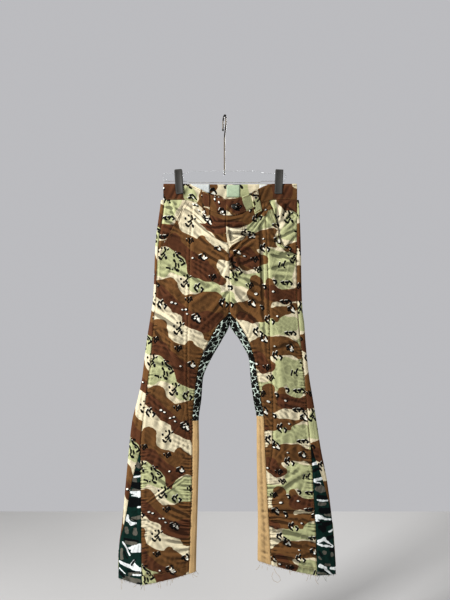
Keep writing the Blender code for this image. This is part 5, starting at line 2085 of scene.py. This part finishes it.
@dataclass(frozen=True)
class Sewing:
    """Topstitching, bar tacks, and the loose yarns of the raw hems. Threads and yarns are
    about twice as thick as real ones, which would not show."""

    jeans: Jeans
    radius: float = 0.45
    lift: float = 0.2
    step: float = 1.5
    rows_start: float = 240.0
    mouth_rows: tuple[float, float] = (2.5, 8.5)
    hem_rows: tuple[float, float] = (-2.0, 3.0)
    fly_ends: tuple[float, float] = (241.0, 424.0)
    fly_row_gap: float = 6.0
    fly_tacks: tuple[float, float] = (372.0, 428.0)
    fly_tack_ends: tuple[float, float] = (15.0, 25.0)
    loop_ends: tuple[float, float] = (196.0, 252.0)
    loop_tacks: tuple[float, float] = (194.5, 252.5)
    loop_tack_half: float = 7.5
    yarn_radius: float = 0.38
    yarn_pitch: float = 2.2
    yarn_points: int = 7
    yarn_turns: tuple[float, float, float] = (0.55, 1.1, 0.3)
    long_share: float = 0.07
    long_yarn: tuple[float, float] = (9.0, 20.0)
    short_yarn: tuple[float, float] = (1.8, 6.0)
    seed: int = 11

    def on_waist(
        self, x: Array, drop: Array, face: Face = Face.FRONT, lift: Lift | None = None
    ) -> Array:
        """Points of a row on the hips or waist.

        Args:
            x: X of each point.
            drop: Drop of each point.
            face: Front or back.
            lift: How far the cloth stands out there.

        Returns:
            The points.
        """
        more = lift(x, drop) if lift else 0.0
        return self.jeans.form.waist_surface(face, x, drop, self.lift + more)

    def seam_row(
        self, leg: Leg, face: Face, seam: str, start: float, end: float, aside: float
    ) -> Array:
        """Points of a row beside a seam of a leg.

        Args:
            leg: The leg.
            face: Front or back.
            seam: A column of LEGS.
            start: Drop of its first point.
            end: Drop that it stops short of.
            aside: How far in from the seam it runs.

        Returns:
            The points.
        """
        form, drop = self.jeans.form, np.arange(start, end, self.step)
        turn = form.turn_at(leg, face, drop, form.seam(leg, seam, drop, face))
        turn = form.shifted(leg, drop, turn, aside if face is Face.FRONT else -aside)
        return form.surface(leg, drop, turn, self.lift)

    def leg_rows(self, leg: Leg) -> list[Array]:
        """All the rows of one leg: its seams, its pocket's mouth and its hem band.

        Args:
            leg: The leg.

        Returns:
            The rows' points.
        """
        form, levels, sign = self.jeans.form, LEVELS[leg], leg.sign
        rows = [self.seam_row(leg, *row) for row in SEAM_ROWS[leg]]
        drop = np.arange(self.rows_start, levels.pocket_end - 10, self.step)
        for aside in self.mouth_rows:
            x = self.jeans.mouth_x(leg, drop) - sign * aside
            rows.append(self.on_waist(x, drop, lift=partial(self.jeans.mouth_lift, leg)))
        for face, seam in ((Face.FRONT, "side"), (Face.BACK, "outer")):
            start, end = (float(form.seam(leg, name, levels.hem)) for name in (seam, "strip"))
            x = np.linspace(start - 5 * sign, end + 3 * sign, 110)
            for below in self.hem_rows:
                drop = np.full(x.shape, levels.hem_seam + below)
                rows.append(form.surface(leg, drop, form.turn_at(leg, face, drop, x), self.lift))
        return rows

    def fly_rows(self) -> list[Array]:
        """The curved twin rows, the row along the fly's edge, and two bar tacks.

        Returns:
            The rows' points.
        """
        drop, lift = np.arange(*self.fly_ends, self.step), self.jeans.fly_lift
        edge = self.jeans.form.centre(Leg.RIGHT, drop, Face.FRONT) + 2.2
        lines = (FLY_ROW(drop), FLY_ROW(drop) - self.fly_row_gap, edge)
        rows = [self.on_waist(x, drop, lift=lift) for x in lines]
        x = np.linspace(*self.fly_tack_ends, 6)
        for middle in self.fly_tacks:
            for beside in np.arange(-2.0, 2.5, 1.0):
                rows.append(self.on_waist(x, np.full(x.shape, middle + beside), lift=lift))
        return rows

    def band_rows(self) -> dict[str, list[Array]]:
        """The two rows along each piece of the waistband.

        Returns:
            The rows' points, by the name of the piece's solid.
        """
        form, lift = self.jeans.form, self.jeans.band_lift
        left = float(form.seam(Leg.LEFT, "outer", form.waist_top)) + 5
        right = float(form.seam(Leg.RIGHT, "outer", form.waist_top)) - 5
        found: dict[str, list[Array]] = {}
        for name, face, start, end, lift in (
            ("waistband_front_left", Face.FRONT, left, 3.0, lift),
            ("waistband_front_right", Face.FRONT, 8.0, right, partial(lift, over=True)),
            ("waistband_back", Face.BACK, left, right, lift),
        ):
            x = np.arange(start, end, self.step)
            drops = (np.full(x.shape, row) for row in self.jeans.band_rows)
            found[name] = [self.on_waist(x, drop, face, lift) for drop in drops]
        return found

    def loop_rows(self, loop: Loop) -> list[Array]:
        """Two rows down a belt loop and a bar tack at each end.

        Args:
            loop: The loop.

        Returns:
            The rows' points.
        """
        down = np.arange(*self.loop_ends, self.step)
        lines = [(loop.middle(down) + aside, down) for aside in (-loop.row_aside, loop.row_aside)]
        across = np.linspace(-self.loop_tack_half, self.loop_tack_half, 8)
        for tack in self.loop_tacks:
            for beside in (-0.8, 0.0, 0.8):
                drop = np.full(across.shape, tack + beside)
                lines.append((loop.middle(drop) + across, drop))
        lift = partial(self.jeans.loop_lift, loop)
        return [self.on_waist(x, drop, loop.face, lift) for x, drop in lines]

    def yarn(self, start: Array, length: float, rng: np.random.Generator) -> Array:
        """One loose yarn that hangs from a raw edge and curls.

        Args:
            start: Its upper end.
            length: How long it is.
            rng: Gives its aim, curl and lean.

        Returns:
            Its points.
        """
        way, curl, lean = (rng.uniform(-most, most) for most in self.yarn_turns)
        points, count = [start], self.yarn_points - 1
        for step in range(count):
            aim = way + curl * step / count
            onward = np.array((math.sin(aim), 0.4 * lean, -math.cos(aim)))
            points.append(points[-1] + length / count * onward)
        return np.array(points)

    def fray(self, cut: Cut) -> list[Array]:
        """The short yarns along the lower edge of a piece, with a few long ones.

        Args:
            cut: The piece.

        Returns:
            The yarns' points.
        """
        rng = np.random.default_rng(self.seed + len(cut.name) * 7 + int(cut.leg is Leg.LEFT))
        cloth = self.jeans.cloth(cut, rows_between(cut.bottom - 6, cut.bottom, 3.0))
        edge = cloth.points[-1] - 0.6 * cloth.outward()[-1]
        runs, at, end = [], self.yarn_pitch / 2, travelled(edge)[-1]
        while at < end:
            long = rng.random() < self.long_share
            length = rng.uniform(*(self.long_yarn if long else self.short_yarn))
            runs.append(self.yarn(points_at(edge, at) + (0, 0, 0.5), length, rng))
            at += self.yarn_pitch * rng.uniform(0.5, 1.5)
        return runs

    def build(self) -> dict[str, list[bpy.types.Object]]:
        """Make all the sewing and yarns.

        Returns:
            The pieces that lie on each sheet, by the name of its solid.
        """
        extras: dict[str, list[bpy.types.Object]] = {}

        def sew(name: str, sheet: str, rows: list[Array]) -> None:
            """Stitch along rows.

            Args:
                name: What is sewn.
                sheet: The solid of the sheet that carries the stitches.
                rows: Points of each row.
            """
            runs = [run for row in rows for run in stitches(row)]
            made = threads(f"stitching_{name}", runs, self.radius, TAN_THREAD)
            extras.setdefault(sheet, []).append(made)
            LOG.info("%s: %d stitches", made.name, len(runs))

        def loosen(name: str, sheet: str, runs: list[Array], finish: Finish) -> None:
            """Lay loose yarns as one piece on a sheet."""
            extras.setdefault(sheet, []).append(threads(name, runs, self.yarn_radius, finish))
            LOG.info("%s: %d yarns", name, len(runs))

        for leg in Leg:
            sew(leg.value, f"front_outer_{leg.value}", self.leg_rows(leg))
            for cut in self.jeans.cuts(leg):
                if cut.bottom == LEVELS[leg].hem:
                    finish = DARK_FRAY if cut.finish is WOODLAND else FRAY
                    loosen(f"frayed_{cut.name}", cut.name, self.fray(cut), finish)
        sew("fly", "front_inner_right", self.fly_rows())
        for name, rows in self.band_rows().items():
            sew(name, name, rows)
        for loop in LOOPS:
            sew(loop.name, loop.name, self.loop_rows(loop))
        runs = [np.array(points, float) for points in LONG_YARNS]
        loosen("loose_yarns", "front_outer_left", runs, FRAY)
        return extras


# ------------------------------------------------------------------ the hanger


@dataclass(frozen=True)
class Hanger:
    """The clear bar, its wire hook, its two clips, and the jeans' metal button."""

    wire: float = 2.0
    hook_turn: float = 16.0
    hook_seat: float = 166.0
    hook_straight: float = 68.0
    hook_swing: float = 47.5
    hook_radius: float = 14.5
    rod_radius: float = 12.5
    hook_bend: float = 21.75
    hook_end: float = 31.0
    bar_round: float = 2.2
    jaw_round: float = 0.5
    tip_round: float = 0.6
    button_round: float = 0.3
    jaw_inset: float = 2.2
    jaw_step: float = 0.5
    spring_wire: float = 0.75
    spring_radius: float = 2.2
    spring_length: float = 14.0
    spring_turns: int = 7

    def refined(self, name: str, finish: Finish, rounding: float) -> bpy.types.Object:
        """A merged copy of a node's mesh, with its edges rounded over, in its place.

        Args:
            name: The node.
            finish: The piece's material.
            rounding: How far the edges are cut back.

        Returns:
            The piece.
        """
        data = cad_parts[name].data.copy()
        data.materials.clear()
        piece = link(f"{name}_finished", data, finish)
        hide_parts(name)
        activate(piece)
        bpy.ops.object.mode_set(mode="EDIT")
        bpy.ops.mesh.select_all(action="SELECT")
        bpy.ops.mesh.remove_doubles(threshold=1e-5)
        bpy.ops.mesh.dissolve_limited(angle_limit=math.radians(1))
        bpy.ops.object.mode_set(mode="OBJECT")
        bevel = piece.modifiers.new("bevel", "BEVEL")
        bevel.width, bevel.segments = rounding * MM, 3
        bevel.limit_method, bevel.angle_limit = "ANGLE", math.radians(40)
        bpy.ops.object.modifier_apply(modifier=bevel.name)
        bpy.ops.object.shade_smooth_by_angle(angle=math.radians(30))
        LOG.info("%s: %d faces", piece.name, len(piece.data.polygons))
        return piece

    def swept(self, name: str, points: Array, radius: float, finish: Finish) -> None:
        """Make a round wire through points, as a mesh in place of a node.

        Args:
            name: The node.
            points: The wire's middle line.
            radius: Half its thickness.
            finish: Its material.
        """
        curve = bpy.data.curves.new(f"{name}_wire", "CURVE")
        curve.dimensions, curve.use_fill_caps = "3D", True
        curve.bevel_depth, curve.bevel_resolution = radius * MM, 3
        line = curve.splines.new("POLY")
        line.points.add(len(points) - 1)
        for spot, place in zip(line.points, points * MM):
            spot.co = (*place, 1.0)
        piece = bpy.data.objects.new(curve.name, curve)
        bpy.context.scene.collection.objects.link(piece)
        activate(piece)
        bpy.ops.object.convert(target="MESH")
        piece = bpy.context.object
        piece.data.materials.clear()
        piece.data.materials.append(finish.material())
        bpy.ops.object.shade_smooth_by_angle(angle=math.radians(50))
        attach(piece, BODY)
        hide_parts(name)
        LOG.info("%s: %d points", piece.name, len(points))

    def hook(self) -> None:
        """The wire: up from the bar, out to one side, over the rod and down to its tip."""
        share, radius = np.linspace(0, 1, 13), self.hook_radius
        rise = [(0.0, drop) for drop in np.linspace(self.hook_seat, self.hook_straight, 12)[:-1]]
        swing = (radius * ease(0, 1, share), self.hook_straight - self.hook_swing * share)
        turn = np.linspace(0, math.pi, 25)
        over = (radius * np.cos(turn), self.rod_radius - radius * np.sin(turn))
        end = [(-radius, self.hook_bend), (-radius - 1, self.hook_end)]
        route = np.concatenate((rise, np.stack(swing, 1)[:-1], np.stack(over, 1), end))
        aim = math.radians(self.hook_turn)
        along, drop = route.T
        points = np.stack((along * math.sin(aim), -along * math.cos(aim), -drop), axis=1)
        self.swept("hanger_hook", points, self.wire, STEEL)

    def spring(self, name: str) -> None:
        """Make a clip's coil spring about the middle of its solid.

        Args:
            name: The solid.
        """
        corners = np.array([point.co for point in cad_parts[name].data.vertices]) / MM
        middle = (corners.min(axis=0) + corners.max(axis=0)) / 2
        turn = np.linspace(0, self.spring_turns * math.tau, self.spring_turns * 14)
        along, radius = (turn / turn[-1] - 0.5) * self.spring_length, self.spring_radius
        coil = np.stack((along, radius * np.cos(turn), radius * np.sin(turn)), axis=1)
        self.swept(name, middle + coil, self.spring_wire, GUNMETAL)

    def jaw(self, name: str) -> None:
        """Make a clip's jaw, with the flat of its outer face sunk inside a rim.

        Args:
            name: The solid.
        """
        piece = self.refined(name, BLACK_ABS, self.jaw_round)
        sign = -1.0 if name.endswith("front") else 1.0
        flats = [face for face in piece.data.polygons if sign * face.normal.y > 0.98]
        widest = max(flats, key=lambda face: face.area)
        for face in piece.data.polygons:
            face.select = face == widest
        bpy.ops.object.mode_set(mode="EDIT")
        bpy.ops.mesh.select_mode(type="FACE")
        bpy.ops.mesh.inset(thickness=self.jaw_inset * MM, depth=0.0)
        bpy.ops.mesh.inset(thickness=self.jaw_step * MM, depth=-self.jaw_step * MM)
        bpy.ops.object.mode_set(mode="OBJECT")

    def build(self) -> None:
        """Make the hanger and the button. The bar's edge faces carry a painted highlight: opaque white in
        place of refractions.
        """
        bar = self.refined("hanger_bar", ACRYLIC, self.bar_round)
        # painted highlight: faces that do not face front or back take the opaque white edge finish
        bar.data.materials.append(ACRYLIC_EDGE_PAINTED_HIGHLIGHT.material())
        for face in bar.data.polygons:
            face.material_index = int(abs(face.normal.y) < 0.8)
        self.hook()
        self.refined("hook_tip", BLACK_ABS, self.tip_round)
        self.refined("button", GUNMETAL, self.button_round)
        for side in Leg:
            self.spring(f"clip_{side.value}_spring")
            for jaw in Face:
                self.jaw(f"clip_{side.value}_{jaw.value}")


# ------------------------------------------------------------------ the studio


@dataclass(frozen=True)
class Light:
    """An area light: its place, its size and its power."""

    place: tuple[float, float, float]
    size: float
    power: float


@dataclass(frozen=True)
class Studio:
    """A plain floor, soft lights and the photograph's camera, in metres."""

    floor_height: float = -1.62
    floor_size: float = 2.6
    wall_tone: str = "BDBDC0"
    world_strength: float = 0.17
    wall_strength: float = 0.87
    camera_place: tuple[float, float, float] = (0.0014, -1.5, -0.515)
    camera_angle: float = 58.5
    aim: tuple[float, float, float] = (0.0, 0.0, -0.75)
    lights: tuple[Light, ...] = (
        Light((-2.0, -1.5, 0.45), 0.5, 92.0),
        Light((1.3, -1.8, 0.0), 1.0, 14.0),
        Light((0.9, 2.0, 0.6), 0.8, 40.0),
    )

    def world(self) -> bpy.types.World:
        """Make a pale wall all round, which lights the jeans more weakly than it looks.

        Returns:
            The world.
        """
        world = bpy.data.worlds.new("studio")
        world.use_nodes = True
        world.node_tree.nodes.clear()
        node = partial(add_node, world.node_tree)
        rays = node("LightPath", {}).node.outputs
        seen = {0: rays["Is Camera Ray"], 1: rays["Is Transmission Ray"]}
        seen = node("Math", seen, operation="MAXIMUM")
        strength = {"Value": seen, "To Min": self.world_strength, "To Max": self.wall_strength}
        wall = {"Color": colour(self.wall_tone), "Strength": node("MapRange", strength)}
        node("OutputWorld", {"Surface": node("Background", wall)})
        return world

    def build(self) -> None:
        """Make the floor, the lights, the world and the camera."""
        scene = bpy.context.scene
        bpy.ops.mesh.primitive_plane_add(size=self.floor_size, location=(0, 0, self.floor_height))
        floor = bpy.context.object
        floor.name = "floor"
        floor.data.materials.append(CONCRETE.material())
        scene.world = self.world()
        scene.view_settings.view_transform = "Standard"
        scene.view_settings.look = "Medium High Contrast"
        for number, light in enumerate(self.lights):
            lamp = bpy.data.lights.new(f"soft_{number}", "AREA")
            lamp.size, lamp.energy = light.size, light.power
            holder = bpy.data.objects.new(lamp.name, lamp)
            holder.location = light.place
            way = Vector(self.aim) - Vector(light.place)
            holder.rotation_euler = way.to_track_quat("-Z", "Y").to_euler()
            scene.collection.objects.link(holder)
        lens = bpy.data.cameras.new("camera")
        lens.sensor_fit, lens.angle = "VERTICAL", math.radians(self.camera_angle)
        lens.clip_start, lens.clip_end = 0.05, 60.0
        camera = bpy.data.objects.new("camera", lens)
        camera.location = self.camera_place
        camera.rotation_euler = Euler((math.radians(90), 0, 0))
        scene.collection.objects.link(camera)
        scene.camera = camera
        LOG.info("studio: %d lights", len(self.lights))


def main() -> None:
    """Build the jeans, the hanger and the studio."""
    logging.basicConfig(level=logging.INFO, format="%(name)s: %(message)s")
    Jeans().build()
    Hanger().build()
    Studio().build()
    bpy.context.view_layer.update()


if __name__ == "__main__":
    main()
